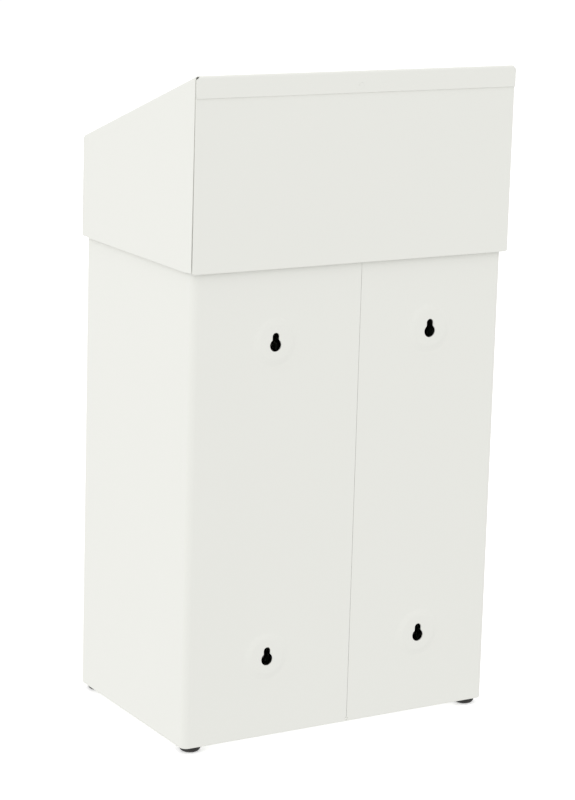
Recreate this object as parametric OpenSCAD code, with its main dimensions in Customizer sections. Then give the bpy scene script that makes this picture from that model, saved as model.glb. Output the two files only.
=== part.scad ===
// Waste bin with a lift-off hood and a sprung flap, free-standing or hung on four wall screws.
// Millimetres, +Z up. The front faces -Y. The origin is on the floor, under the middle of the bin.

/* [Body] */
// Outside width of the body
body_w = 380; // [350:5:430]
// Outside depth of the body
body_d = 245; // [235:5:290]
// Height of the folded shell, from its lower edge to its rim
body_h = 534; // [480:2:620]
// Thickness of the body's sheet
body_sheet = 1; // [0.8:0.1:1.2]
// Outside radius of the upright corners
corner_r = 7; // [5:0.5:9]
// Width of the rim that is turned in at the top
rim_w = 13; // [11:0.5:15]
// Height of the lip that is turned down from the rim, with the rim's own sheet
lip_h = 11; // [10:0.5:14]
// Corner radius of the mouth inside the rim
mouth_r = 8; // [4:0.5:12]

/* [Seam] */
// Distance of the back seam from the middle, towards -X
seam_shift = 10.5; // [0:0.5:40]
// Open width of the seam
seam_gap = 0.8; // [0.4:0.1:1.2]
// Width of the notch at the seam's foot
notch_w = 3; // [2:0.5:5]
// Height of the notch at the seam's foot
notch_h = 3; // [2:0.5:5]
// Width of the strip behind the seam
strip_w = 24; // [16:1:36]
// Thickness of the strip behind the seam
strip_sheet = 1; // [0.8:0.1:2]

/* [Wall keyholes] */
// Distance between the keyholes across the back
key_dx = 191; // [160:1:230]
// Distance between the keyholes up the back
key_dz = 341; // [280:1:345]
// Height of the lower keyholes' entries above the shell's lower edge
key_low = 86; // [60:1:100]
// Distance of the keyholes' middle from the body's middle, towards -X
key_shift = 3.5; // [0:0.5:15]
// Diameter of an entry hole
key_entry_d = 13.5; // [11:0.5:16]
// Width of a slot
key_slot_w = 8; // [6:0.5:10]
// Height from an entry hole's lowest point to its slot's highest
key_h = 20; // [17:0.5:24]
// Diameter of a raised pad at its foot
pad_d = 54; // [48:1:60]
// Diameter of a pad's flat top
pad_flat_d = 36; // [30:1:42]
// Height of a pad
pad_h = 2; // [1:0.25:3]

/* [Base and feet] */
// Gap between the floor and the shell's lower edge
foot_h = 7; // [5:0.5:12]
// Diameter of a foot
foot_d = 22.6; // [18:0.2:26]
// Radius of a foot's rounded lower edge
foot_round = 4.5; // [2.5:0.5:5]
// Distance of a foot's middle from the body's side
foot_in_x = 15.5; // [15.5:0.5:40]
// Distance of a foot's middle from the body's front or back
foot_in_y = 13.5; // [13.5:0.5:40]
// Thickness of the base's sheet
base_sheet = 1.2; // [0.8:0.1:1.5]
// Height of the base's underside above the shell's lower edge
base_recess = 2; // [1:0.5:6]
// Height of the base's upturned flange
base_flange = 20; // [12:1:30]
// Diameter of a foot's screw
screw_d = 4; // [3:0.5:5]
// Length of a foot's screw under its head
screw_len = 13.5; // [13.5:0.5:20]
// Diameter of a foot screw's head
screw_head_d = 8; // [7:0.5:9]
// Height of a foot screw's head
screw_head_h = 2.6; // [2:0.1:3]
// Thickness of a foot's washer
washer_h = 1; // [0.5:0.1:1.2]
// Width of a nut across its flats
nut_af = 7; // [6:0.5:8]
// Height of a nut
nut_h = 3.2; // [2:0.2:4]

/* [Bag frame] */
// Diameter of the bag frame's wire
wire_d = 4; // [3:0.5:5]
// Distance of the wire's middle from the mouth's edge
frame_in = 6; // [5.5:0.5:8]
// Depth of the wire's middle below the rim
frame_drop = 7; // [6:0.5:8]
// Corner radius of the wire's middle line
frame_r = 10; // [8:1:12]
// Radial clearance of the wire in its clips
wire_fit = 0.06; // [0.04:0.01:0.1]
// Width of a clip or a rest
clip_w = 14; // [10:1:24]
// Distance of each clip and rest from the body's sides
clip_in = 80; // [60:5:130]
// Thickness of the clips' and rests' sheet
clip_sheet = 1.2; // [1:0.1:1.5]
// Gap between the wire and its rest
rest_gap = 0.3; // [0.2:0.1:0.5]

/* [Hood] */
// Thickness of the hood's sheet
hood_sheet = 1; // [0.8:0.1:1.2]
// How far the hood reaches down over the body
hood_overlap = 26; // [20:1:40]
// Height of the hood's front
hood_front_h = 111; // [100:1:140]
// Slope of the hood's top, in degrees
slope = 20; // [16:0.5:24]
// Gap between the body and the hood at each side
side_gap = 3; // [2:0.5:5]
// Gap between the body and the hood at the front
front_gap = 1.5; // [1.5:0.5:4]
// Gap between the body and the hood at the back
rear_gap = 4; // [4:0.5:6]
// Outside radius of the hood's folds
bend_r = 2.5; // [2:0.25:3]
// Height of the hem inside the hood's lower edge
hem_h = 8; // [6:0.5:12]
// Height of the top sheet's strip that is folded down over the back
strip_h = 24; // [20:1:30]
// How far the strip's ends stop short of the folds at the back corners
strip_in = 1; // [0.5:0.25:2]
// Outside radius of the upright folds at the corners
fold_r = 1.25; // [1.1:0.05:1.6]
// Open width of the upright joints between the sides and those folds
joint_gap = 0.8; // [0.5:0.1:1.2]
// Width of the returns folded in behind the sides
return_w = 14; // [10:1:20]
// Diameter of the relief holes at the folded corners
relief_d = 3.2; // [3:0.1:3.4]
// Height of the rivet below the top of the strip
rivet_drop = 16.5; // [10:0.5:18]
// Diameter of the rivet's flush head
rivet_head_d = 6; // [5:0.5:8]
// Diameter of the rivet's shank
rivet_d = 3.2; // [2.4:0.2:4]
// Diameter of the rivet's tail, inside
rivet_tail_d = 5.2; // [4.2:0.2:7]

/* [Hood ledges and buffers] */
// Height of the buffers between the ledges and the rim
buffer_h = 3; // [2:0.5:5]
// Diameter of a buffer
buffer_d = 10; // [8:0.5:11]
// Distance of the buffers from the body's front and back
buffer_in = 52.5; // [42.5:2.5:80]
// Diameter of a buffer's neck
buffer_neck_d = 5; // [4:0.5:6]
// Diameter and twice the height of a buffer's head
buffer_head_d = 8; // [6:0.5:9]
// Distance of a ledge's ends from the body's front and back
ledge_end = 32.5; // [27.5:2.5:35]
// Height of a ledge's upright leg
ledge_h = 20; // [12:1:24]
// Thickness of a ledge
ledge_sheet = 1.5; // [1:0.1:2]

/* [Throat and flap] */
// Distance of the throat from the hood's sides
throat_side = 44; // [44:1:64]
// Distance of the throat from the front fold, along the slope
throat_front = 46; // [44:1:50]
// Distance of the throat from the back fold, along the slope
throat_back = 54; // [54:1:70]
// Corner radius of the throat
throat_r = 10; // [6:1:20]
// Depth of the throat's turned-down lip, with the sheet
throat_lip = 8; // [6:0.5:10]
// How far the flap reaches past the throat at its sides and front
flap_reach = 12; // [11:0.5:13]
// Gap between the throat's lip and the closed flap
flap_gap = 0.5; // [0.3:0.1:1]
// Thickness of the flap's sheet
flap_sheet = 1; // [0.8:0.1:1.5]
// Height of the flap's turned-down edges
flap_edge = 15; // [12:1:16]
// How far the flap reaches behind the throat
flap_back = 2; // [1:0.5:3]
// How far the flap swings open, in degrees
flap_open = 65; // [50:1:65]
// Gap between the flap's heels and the top sheet when it is open
heel_gap = 0.5; // [0.3:0.1:1]
// Width of a heel
heel_w = 6; // [4:0.5:8]
// Diameter of a flap stop
stop_d = 8; // [6:0.5:8]
// Diameter of a flap stop's neck
stop_neck_d = 4; // [3:0.5:5]

/* [Hinge and springs] */
// Diameter of the hinge rod
rod_d = 6; // [5:0.5:7]
// Distance of the rod behind the throat, along the slope
rod_back = 13; // [12:0.5:14]
// Depth of the rod below the top sheet's face
rod_drop = 17; // [17:0.5:18]
// Radial clearance of the rod in its bushes
rod_fit = 0.06; // [0.04:0.01:0.1]
// Radius of the ears round the rod
ear_r = 8; // [7:0.5:8.5]
// Outside diameter of a bush
bush_d = 9; // [8.5:0.25:10]
// Length of a bush, which its spring's coil surrounds
bush_len = 26; // [24:1:32]
// Diameter of a bush's flange
bush_flange_d = 13; // [12:0.5:15]
// Thickness of a bush's flange
bush_flange_h = 1; // [0.8:0.1:1.5]
// Gap between a bush and its bracket
bracket_gap = 0.4; // [0.3:0.1:0.8]
// Thickness of a hinge bracket
bracket_sheet = 1.5; // [1.2:0.1:2]
// Length of a hinge bracket, along the slope
bracket_len = 34; // [26:1:38]
// Width of a hinge bracket's foot
bracket_foot_w = 16; // [12:1:18]
// Radius of a hinge bracket round the rod
bracket_r = 9; // [8:0.5:10]
// Diameter of a rod cap
cap_d = 12; // [10:0.5:14]
// Thickness of a rod cap
cap_h = 1; // [0.8:0.1:2]
// How far the rod stands out of its caps
rod_end = 2; // [1:0.5:4]
// Diameter of the springs' wire
spring_wire = 1.8; // [1.5:0.1:1.8]
// Pitch of the springs' coils
spring_pitch = 2.1; // [2.1:0.1:2.4]
// Full turns of each spring, before the last three quarters
spring_turns = 9; // [5:1:9]
// Gap between a spring and the flap's ear
spring_gap = 2; // [1:0.5:4]
// Gap between a spring's leg and the flap
spring_clear = 0.3; // [0.2:0.1:0.5]
// Length of the springs' legs under the flap
spring_leg = 40; // [25:1:60]
// Length of the springs' feet under the top sheet
spring_foot = 10; // [6:1:14]

/* [Hidden] */
$fn = 64;

LEFT = -1;
RIGHT = 1;
FRONT = -1;
REAR = 1;
cut = 1;       // How far a cutting shape runs past what it cuts
far = 400;     // Longer than any part of the hood

// Small clearances and margins
strip_clear = 1;    // From the seam strip to the base's flange and to the lip
pan_round = 0.5;    // By which the base's corners are rounder than the shell's
washer_rim = 0.7;   // By which a washer stands out past its screw's head
seat_play = 0.05;   // Round a washer in its foot
hole_play = 0.2;    // Round a screw in its holes
screw_seat = 3.5;   // Height of a washer's underside above the floor
ledge_clear = 0.5;  // From a ledge's edge to the mouth's, inwards
head_lip = 1;       // By which a stop's head stands out past its neck
tip_in = 0.5;       // By which a rubber tip is narrower than its neck
hem_clear = 0.5;    // From a side's hem to the return behind it
return_clear = 0.3; // From the returns' upper ends to the folds along the sides

// Colours, as on the object
paint = [0.93, 0.93, 0.9];
rubber = [0.09, 0.09, 0.09];
zinc = [0.72, 0.74, 0.76];
nylon = [0.85, 0.85, 0.8];

// Body
front_out = front_gap + hood_sheet;
rear_out = rear_gap + 2 * hood_sheet;
body_y = (front_out - rear_out) / 2;
body_top = foot_h + body_h;
body_back = body_d / 2;
mouth_w = body_w - 2 * rim_w;
mouth_d = body_d - 2 * rim_w;
seam_x = -seam_shift;
key_rise = key_h - key_entry_d / 2 - key_slot_w / 2;

// Base and feet
base_z = foot_h + base_recess;
foot_top = base_z;
foot_x = body_w / 2 - foot_in_x;
foot_y = body_d / 2 - foot_in_y;
washer_d = screw_head_d + 2 * washer_rim;
foot_bore_d = washer_d + 2 * seat_play;
foot_bore_h = screw_seat + washer_h;
screw_hole_d = screw_d + 2 * hole_play;

// Bag frame
frame_z = body_top - frame_drop;
frame_x = mouth_w / 2 - frame_in;
frame_y = mouth_d / 2 - frame_in;
clip_x = body_w / 2 - clip_in;
clip_r = wire_d / 2 + wire_fit + clip_sheet;
rest_z = frame_z - wire_d / 2 - rest_gap;

// Hood
hood_w = body_w + 2 * (side_gap + hood_sheet);
hood_front_y = body_y - body_d / 2 - front_out;
hood_back_y = body_y + body_d / 2 + rear_gap + hood_sheet;
strip_y = hood_back_y + hood_sheet;
hood_z = body_top - hood_overlap;
hood_front_z = hood_z + hood_front_h;
hood_top_z = top_z(strip_y);
side_front_y = hood_front_y + fold_r + joint_gap;
side_back_y = hood_back_y - fold_r - joint_gap;
fold_x = hood_w / 2 - fold_r;
inner_x = hood_w / 2 - hood_sheet;
back_fold_z = top_z(strip_y - bend_r) - bend_r / cos(slope);
relief_in = bend_r / 3;   // Depth of the relief holes' upper edges below the top sheet's face
rivet_z = hood_top_z - rivet_drop;
ledge_z = body_top + buffer_h;
ledge_in = mouth_w / 2 - ledge_clear;
ledge_len = body_d - 2 * ledge_end;
buffer_x = body_w / 2 - rim_w / 2;
buffer_y = body_d / 2 - buffer_in;

// Throat, flap and hinge, in the frame of the sloping top: x, along the slope, out of the top
throat_w = hood_w - 2 * throat_side;
throat_end = (strip_y - hood_front_y) / cos(slope) - throat_back;
throat_l = throat_end - throat_front;
flap_top = -throat_lip - flap_gap;
flap_under = flap_top - flap_sheet;
flap_x = throat_w / 2 + flap_reach;
flap_front = throat_front - flap_reach;
flap_rear = throat_end + flap_back;
rod_s = throat_end + rod_back;
rod_n = -rod_drop;
heel_tip = rod_drop - hood_sheet - heel_gap;
bracket_x = flap_x + bush_flange_h + bracket_gap;
rod_x = bracket_x + bracket_sheet + cap_h + rod_end;
stop_in = flap_reach / 2;
spring_x = flap_x - flap_sheet - spring_gap - spring_wire / 2;
spring_under = flap_under - spring_clear - spring_wire / 2;
spring_r = spring_under - rod_n;

// Height of the sloping top's face at a distance y from the middle
function top_z(y) = hood_front_z + (y - hood_front_y) * tan(slope);
function unit(v) = v / norm(v);

module over_body() {
  translate([0, body_y, 0]) children();
}

module over_slope() {
  translate([0, hood_front_y, hood_front_z]) rotate([slope, 0, 0]) children();
}

// A flat plate with rounded corners, standing on z = 0
module rounded_plate(w, d, h, r) {
  linear_extrude(h) {
    square([w - 2 * r, d], center = true);
    square([w, d - 2 * r], center = true);
    for (x = [-1, 1], y = [-1, 1])
      translate([x * (w / 2 - r), y * (d / 2 - r)]) circle(r);
  }
}

// A wall of one sheet round a rounded rectangle
module rounded_wall(w, d, h, r, sheet) {
  difference() {
    rounded_plate(w, d, h, r);
    translate([0, 0, -cut]) rounded_plate(w - 2 * sheet, d - 2 * sheet, h + 2 * cut, r - sheet);
  }
}

// Pushes a drawing in the Y-Z plane out along X, from x0 to x1
module along_x(x0, x1) {
  translate([x0, 0, 0]) rotate([90, 0, 90]) linear_extrude(x1 - x0) children();
}

// Body shell

module keyhole_centres() {
  for (x = [-1, 1], z = [0, 1])
    translate([x * key_dx / 2 - key_shift, body_back, foot_h + key_low + z * key_dz])
      rotate([-90, 0, 0]) children();
}

// The pad's cone, centred half way up its keyhole, with z out of the wall
module pad_cone() {
  translate([0, -(key_h - key_entry_d) / 2, 0]) cylinder(h = pad_h, d1 = pad_d, d2 = pad_flat_d);
}

module keyhole_cut() {
  depth = body_sheet + pad_h + 2 * cut;
  translate([0, 0, -body_sheet - cut]) {
    cylinder(h = depth, d = key_entry_d);
    translate([0, -key_rise, 0]) cylinder(h = depth, d = key_slot_w);
    translate([-key_slot_w / 2, -key_rise, 0]) cube([key_slot_w, key_rise, depth]);
  }
}

module body_shell() {
  color(paint) over_body() difference() {
    union() {
      difference() {
        union() {
          translate([0, 0, foot_h]) rounded_wall(body_w, body_d, body_h, corner_r, body_sheet);
          keyhole_centres() pad_cone();
        }
        keyhole_centres() translate([0, 0, -body_sheet]) pad_cone();
      }
      // Rim and lip
      translate([0, 0, body_top - body_sheet]) difference() {
        rounded_plate(body_w, body_d, body_sheet, corner_r);
        translate([0, 0, -cut]) rounded_plate(mouth_w, mouth_d, body_sheet + 2 * cut, mouth_r);
      }
      translate([0, 0, body_top - lip_h])
        rounded_wall(mouth_w + 2 * body_sheet, mouth_d + 2 * body_sheet, lip_h, mouth_r + body_sheet,
                     body_sheet);
    }
    keyhole_centres() keyhole_cut();
    // Open seam through wall, rim and lip, with its notch
    translate([seam_x - seam_gap / 2, mouth_d / 2 - cut, foot_h - cut])
      cube([seam_gap, rim_w + 2 * cut, body_h + 2 * cut]);
    translate([seam_x, body_back + cut, foot_h]) rotate([90, 0, 0])
      linear_extrude(body_sheet + 2 * cut) {
        polygon([[-notch_w / 2, 0], [0, notch_h], [notch_w / 2, 0]]);
        translate([-notch_w / 2, -cut]) square([notch_w, cut]);
      }
  }
}

module seam_strip() {
  low = base_z + base_flange + strip_clear;
  high = body_top - lip_h - strip_clear;
  color(paint) over_body()
    translate([seam_x - strip_w / 2, body_back - body_sheet - strip_sheet, low])
      cube([strip_w, strip_sheet, high - low]);
}

// Base and feet

module at_feet() {
  for (x = [LEFT, RIGHT], y = [FRONT, REAR]) translate([x * foot_x, y * foot_y, 0]) children();
}

module base_pan() {
  w = body_w - 2 * body_sheet;
  d = body_d - 2 * body_sheet;
  r = corner_r + pan_round;
  color(paint) over_body() difference() {
    translate([0, 0, base_z]) difference() {
      rounded_plate(w, d, base_flange, r);
      translate([0, 0, base_sheet])
        rounded_plate(w - 2 * base_sheet, d - 2 * base_sheet, base_flange, r - base_sheet);
    }
    at_feet() cylinder(h = foot_top + base_sheet + cut, d = screw_hole_d);
  }
}

module foot(side, end) {
  color(rubber) over_body() translate([side * foot_x, end * foot_y, 0]) difference() {
    rotate_extrude() {
      translate([0, foot_round]) square([foot_d / 2, foot_top - foot_round]);
      square([foot_d / 2 - foot_round, foot_round + cut]);
      translate([foot_d / 2 - foot_round, foot_round]) circle(foot_round);
    }
    translate([0, 0, -cut]) cylinder(h = foot_bore_h + cut, d = foot_bore_d);
    cylinder(h = foot_top + cut, d = screw_hole_d);
  }
}

module foot_front_left() { foot(LEFT, FRONT); }

module foot_front_right() { foot(RIGHT, FRONT); }

module foot_rear_left() { foot(LEFT, REAR); }

module foot_rear_right() { foot(RIGHT, REAR); }

module foot_washers() {
  color(zinc) over_body() at_feet() translate([0, 0, screw_seat]) difference() {
    cylinder(h = washer_h, d = washer_d);
    translate([0, 0, -cut]) cylinder(h = washer_h + 2 * cut, d = screw_hole_d);
  }
}

module foot_screws() {
  slot_w = screw_d / 4;
  color(zinc) over_body() at_feet() difference() {
    union() {
      translate([0, 0, screw_seat - screw_head_h]) cylinder(h = screw_head_h, d = screw_head_d);
      translate([0, 0, screw_seat]) cylinder(h = screw_len, d = screw_d);
    }
    for (turn = [0, 90])
      translate([0, 0, screw_seat - screw_head_h]) rotate(turn)
        cube([screw_d, slot_w, screw_head_h], center = true);
  }
}

module foot_nuts() {
  color(zinc) over_body() at_feet() translate([0, 0, base_z + base_sheet]) difference() {
    cylinder(h = nut_h, d = nut_af / cos(30), $fn = 6);
    translate([0, 0, -cut]) cylinder(h = nut_h + 2 * cut, d = screw_d);
  }
}

// Bag frame, its clips at the back and its rests at the front

module bag_frame() {
  color(zinc) over_body() translate([0, 0, frame_z]) {
    for (x = [-1, 1], y = [-1, 1])
      translate([x * (frame_x - frame_r), y * (frame_y - frame_r), 0])
        rotate(x > 0 ? (y > 0 ? 0 : -90) : (y > 0 ? 90 : 180))
          rotate_extrude(angle = 90) translate([frame_r, 0]) circle(d = wire_d);
    for (x = [-1, 1])
      translate([x * frame_x, frame_r - frame_y, 0]) rotate([-90, 0, 0])
        cylinder(h = 2 * (frame_y - frame_r), d = wire_d);
    for (y = [-1, 1])
      translate([frame_r - frame_x, y * frame_y, 0]) rotate([0, 90, 0])
        cylinder(h = 2 * (frame_x - frame_r), d = wire_d);
  }
}

module frame_clip(side) {
  plate_y = mouth_d / 2 - clip_sheet;
  low = frame_z - clip_r;
  color(zinc) over_body() translate([side * clip_x - clip_w / 2, 0, 0]) difference() {
    union() {
      translate([0, frame_y, frame_z]) rotate([0, 90, 0]) cylinder(h = clip_w, r = clip_r);
      translate([0, frame_y, low]) cube([clip_w, plate_y - frame_y + clip_sheet, clip_sheet]);
      translate([0, plate_y, low]) cube([clip_w, clip_sheet, body_top - body_sheet - low]);
    }
    translate([-cut, frame_y, frame_z]) rotate([0, 90, 0])
      cylinder(h = clip_w + 2 * cut, r = wire_d / 2 + wire_fit);
  }
}

module frame_clip_left() { frame_clip(LEFT); }

module frame_clip_right() { frame_clip(RIGHT); }

module frame_rest(side) {
  depth = frame_in + wire_d / 2 + clip_sheet;
  low = rest_z - clip_sheet;
  color(zinc) over_body() translate([side * clip_x - clip_w / 2, -mouth_d / 2, low]) {
    cube([clip_w, depth, clip_sheet]);
    cube([clip_w, clip_sheet, body_top - body_sheet - low]);
  }
}

module frame_rest_left() { frame_rest(LEFT); }

module frame_rest_right() { frame_rest(RIGHT); }

// Hood

// Side view of the hood's outside, drawn inset from its faces, with its folds rounded
module side_view(inset) {
  r = bend_r - inset;
  out = [-sin(slope), cos(slope)];
  front = [hood_front_y + bend_r, top_z(hood_front_y + bend_r) - bend_r / cos(slope)];
  back = [strip_y - bend_r, back_fold_z];
  polygon([
    [hood_front_y + inset, hood_z], [hood_front_y + inset, front.y], front, front + r * out,
    back + r * out, back, [strip_y - inset, back.y], [strip_y - inset, hood_z]
  ]);
  translate(front) circle(r);
  translate(back) circle(r);
}

// View along the slope, inset in the same way, with the folds at the sides rounded
module end_view(inset) {
  r = bend_r - inset;
  half = hood_w / 2;
  translate([-(half - inset), -far]) square([2 * (half - inset), far - bend_r]);
  translate([-(half - bend_r), -far]) square([2 * (half - bend_r), far - inset]);
  for (x = [-1, 1]) translate([x * (half - bend_r), -bend_r]) circle(r);
}

module hood_solid(inset) {
  intersection() {
    along_x(-hood_w / 2, hood_w / 2) side_view(inset);
    over_slope() translate([0, far, 0]) rotate([90, 0, 0]) linear_extrude(2 * far) end_view(inset);
  }
}

// The upright folds at both ends of a panel, and the returns set in behind the sides. The panel's
// face is at y = 0, and its inside towards +Y
module upright_folds(low, high) {
  for (side = [LEFT, RIGHT]) scale([side, 1, 1]) translate([0, 0, low]) {
    translate([fold_x, fold_r, 0]) rotate(-90) rotate_extrude(angle = 90)
      translate([fold_r - hood_sheet, 0]) square([hood_sheet, high - low]);
    translate([inner_x - hood_sheet, fold_r - hood_sheet, 0])
      cube([hood_sheet, return_w - fold_r + hood_sheet, high - low]);
  }
}

// A hem along X: the rounded lower edge and the leaf behind it, inwards along +Y
module hem(length) {
  translate([-length / 2, hood_sheet, hood_z + hood_sheet]) {
    rotate([0, 90, 0]) cylinder(h = length, r = hood_sheet);
    cube([length, hood_sheet, hem_h - hood_sheet]);
  }
}

// Height of the middle of a relief hole whose axis crosses y
function relief_z(y) = top_z(y) - relief_in - relief_d / 2;

module relief_holes(y, inwards) {
  for (side = [LEFT, RIGHT])
    translate([side * (hood_w / 2 - bend_r / 2), y, relief_z(y)])
      rotate([0, 0, side * inwards * -45]) rotate([90, 0, 0])
        cylinder(h = 4 * bend_r, d = relief_d, center = true);
}

module throat(grow, low, high) {
  over_slope() translate([0, throat_front + throat_l / 2, low])
    rounded_plate(throat_w + 2 * grow, throat_l + 2 * grow, high - low, throat_r + grow);
}

// The rivet's flush head and shank, with y out of the strip
module rivet_body() {
  rotate([90, 0, 0]) {
    cylinder(h = hood_sheet, d1 = rivet_head_d, d2 = rivet_d);
    cylinder(h = 2 * hood_sheet, d = rivet_d);
  }
}

// Clears a corner of the hood from x outwards and from y0 to y1, up to a height
module corner_cut(side, x, y0, y1, high) {
  scale([side, 1, 1]) translate([x, y0, 0]) cube([hood_w - x, y1 - y0, high]);
}

module hood_cover() {
  hem_front = hood_front_y + return_w + hem_clear;
  hem_back = hood_back_y - return_w - hem_clear;
  front_relief_y = hood_front_y + bend_r / 2;
  back_relief_y = strip_y - bend_r / 2;
  color(paint) difference() {
    union() {
      difference() {
        hood_solid(0);
        translate([0, 0, -cut]) hood_solid(hood_sheet);
        hood_solid(hood_sheet);
        // Open back below the strip, and the plain lower edges that the hems replace
        translate([-hood_w, side_back_y, hood_z - cut])
          cube([2 * hood_w, far, hood_top_z - strip_h - hood_z + cut]);
        translate([-hood_w, -far, hood_z - far + hood_sheet]) cube([2 * hood_w, 2 * far, far]);
        // Corners left open for the folds of the front and the back panel
        for (side = [LEFT, RIGHT]) {
          corner_cut(side, fold_x, hood_front_y - cut, side_front_y, relief_z(front_relief_y));
          corner_cut(side, fold_x, side_back_y, hood_back_y, relief_z(back_relief_y));
          corner_cut(side, fold_x - strip_in, hood_back_y, strip_y + cut, relief_z(back_relief_y));
        }
      }
      // Folds at the front corners, and hems along the front and the sides
      translate([0, hood_front_y, 0]) {
        upright_folds(hood_z + hood_sheet, hood_front_z - bend_r);
        hem(2 * (fold_x - hood_sheet));
      }
      for (side = [LEFT, RIGHT])
        translate([side * hood_w / 2, (hem_front + hem_back) / 2, 0]) rotate(side * 90)
          hem(hem_back - hem_front);
      // Lip round the throat
      difference() {
        throat(hood_sheet, -throat_lip, -hood_sheet / 2);
        throat(0, -throat_lip - cut, cut);
      }
    }
    throat(0, -2 * hood_sheet, cut);
    relief_holes(front_relief_y, -1);
    relief_holes(back_relief_y, 1);
    translate([0, strip_y, rivet_z]) rivet_body();
  }
}

module hood_rear_panel() {
  low = hood_z + hood_sheet;
  color(paint) difference() {
    union() {
      translate([-fold_x, hood_back_y - hood_sheet, low])
        cube([2 * fold_x, hood_sheet, back_fold_z - low]);
      translate([0, hood_back_y, 0]) scale([1, -1, 1]) {
        upright_folds(low, back_fold_z);
        hem(2 * (fold_x - hood_sheet));
      }
    }
    // The returns' upper ends follow the top
    over_slope() translate([-hood_w, -cut, -bend_r - return_clear]) cube([2 * hood_w, far, far]);
    translate([0, strip_y, rivet_z]) rivet_body();
  }
}

module flange_rivet() {
  color(paint) translate([0, strip_y, rivet_z]) {
    rivet_body();
    translate([0, -2 * hood_sheet, 0]) rotate([90, 0, 0]) cylinder(h = hood_sheet, d = rivet_tail_d);
  }
}

// Ledges, and the buffers that stand on the body's rim

module ledge(side) {
  color(paint) over_body() difference() {
    scale([side, 1, 1]) {
      translate([ledge_in, -ledge_len / 2, ledge_z]) cube([inner_x - ledge_in, ledge_len, ledge_sheet]);
      translate([inner_x - ledge_sheet, -ledge_len / 2, ledge_z]) cube([ledge_sheet, ledge_len, ledge_h]);
    }
    for (y = [-1, 1])
      translate([side * buffer_x, y * buffer_y, ledge_z - cut])
        cylinder(h = ledge_sheet + 2 * cut, d = buffer_neck_d);
  }
}

module ledge_left() { ledge(LEFT); }

module ledge_right() { ledge(RIGHT); }

module hood_buffers() {
  color(rubber) over_body() for (x = [-1, 1], y = [-1, 1])
    translate([x * buffer_x, y * buffer_y, body_top]) {
      cylinder(h = buffer_h, d = buffer_d);
      cylinder(h = buffer_h + ledge_sheet, d = buffer_neck_d);
      translate([0, 0, buffer_h + ledge_sheet])
        cylinder(h = buffer_head_d / 2, d1 = buffer_head_d, d2 = buffer_neck_d - 2 * tip_in);
    }
}

// Hinge brackets, rod and caps

module hinge_bracket(side) {
  color(paint) over_slope() scale([side, 1, 1]) difference() {
    union() {
      translate([bracket_x, rod_s - bracket_len / 2, -hood_sheet - bracket_sheet])
        cube([bracket_foot_w, bracket_len, bracket_sheet]);
      translate([bracket_x, rod_s - bracket_r, rod_n])
        cube([bracket_sheet, 2 * bracket_r, -hood_sheet - rod_n]);
      translate([bracket_x, rod_s, rod_n]) rotate([0, 90, 0]) cylinder(h = bracket_sheet, r = bracket_r);
    }
    translate([bracket_x - cut, rod_s, rod_n]) rotate([0, 90, 0])
      cylinder(h = bracket_sheet + 2 * cut, d = rod_d);
  }
}

module hinge_bracket_left() { hinge_bracket(LEFT); }

module hinge_bracket_right() { hinge_bracket(RIGHT); }

module hinge_rod() {
  color(zinc) over_slope()
    translate([-rod_x, rod_s, rod_n]) rotate([0, 90, 0]) cylinder(h = 2 * rod_x, d = rod_d);
}

module rod_caps() {
  color(zinc) over_slope() for (side = [LEFT, RIGHT]) scale([side, 1, 1])
    translate([bracket_x + bracket_sheet, rod_s, rod_n]) rotate([0, 90, 0]) difference() {
      cylinder(h = cap_h, d = cap_d);
      translate([0, 0, -cut]) cylinder(h = cap_h + 2 * cut, d = rod_d);
    }
}

// Flap, its bushes, stops and springs

// Outline of a flap ear: the edge, the boss round the rod and the heel that stops the swing
module ear_view() {
  heel = 90 - flap_open;
  translate([flap_front, flap_top - flap_edge]) square([rod_s - flap_front, flap_edge]);
  translate([rod_s, rod_n]) {
    circle(ear_r);
    rotate(heel) translate([0, -heel_w / 2]) square([heel_tip - heel_w / 2, heel_w]);
    rotate(heel) translate([heel_tip - heel_w / 2, 0]) circle(d = heel_w);
  }
}

module flap() {
  color(paint) over_slope() difference() {
    union() {
      translate([-flap_x, flap_front, flap_under]) cube([2 * flap_x, flap_rear - flap_front, flap_sheet]);
      translate([-flap_x, flap_front, flap_top - flap_edge]) cube([2 * flap_x, flap_sheet, flap_edge]);
      along_x(flap_x - flap_sheet, flap_x) ear_view();
      along_x(-flap_x, flap_sheet - flap_x) ear_view();
    }
    translate([-flap_x - cut, rod_s, rod_n]) rotate([0, 90, 0]) cylinder(h = 2 * (flap_x + cut), d = bush_d);
    for (side = [LEFT, RIGHT])
      translate([side * (flap_x - stop_in), flap_front + stop_in, flap_under - cut])
        cylinder(h = flap_sheet + 2 * cut, d = stop_neck_d);
  }
}

module flap_bush(side) {
  color(nylon) over_slope() scale([side, 1, 1])
    translate([flap_x - bush_len, rod_s, rod_n]) rotate([0, 90, 0]) difference() {
      union() {
        cylinder(h = bush_len, d = bush_d);
        translate([0, 0, bush_len]) cylinder(h = bush_flange_h, d = bush_flange_d);
      }
      translate([0, 0, -cut]) cylinder(h = bush_len + bush_flange_h + 2 * cut, r = rod_d / 2 + rod_fit);
    }
}

module flap_bush_left() { flap_bush(LEFT); }

module flap_bush_right() { flap_bush(RIGHT); }

module flap_stops() {
  head_d = stop_neck_d + 2 * head_lip;
  head_h = head_d / 2;
  tip_d = stop_neck_d - 2 * tip_in;
  color(rubber) over_slope() for (side = [LEFT, RIGHT])
    translate([side * (flap_x - stop_in), flap_front + stop_in, flap_top]) {
      cylinder(h = -hood_sheet - flap_top, d = stop_d);
      translate([0, 0, -flap_sheet]) cylinder(h = flap_sheet, d = stop_neck_d);
      translate([0, 0, -flap_sheet - head_h]) cylinder(h = head_h, d1 = tip_d, d2 = head_d);
    }
}

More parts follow.
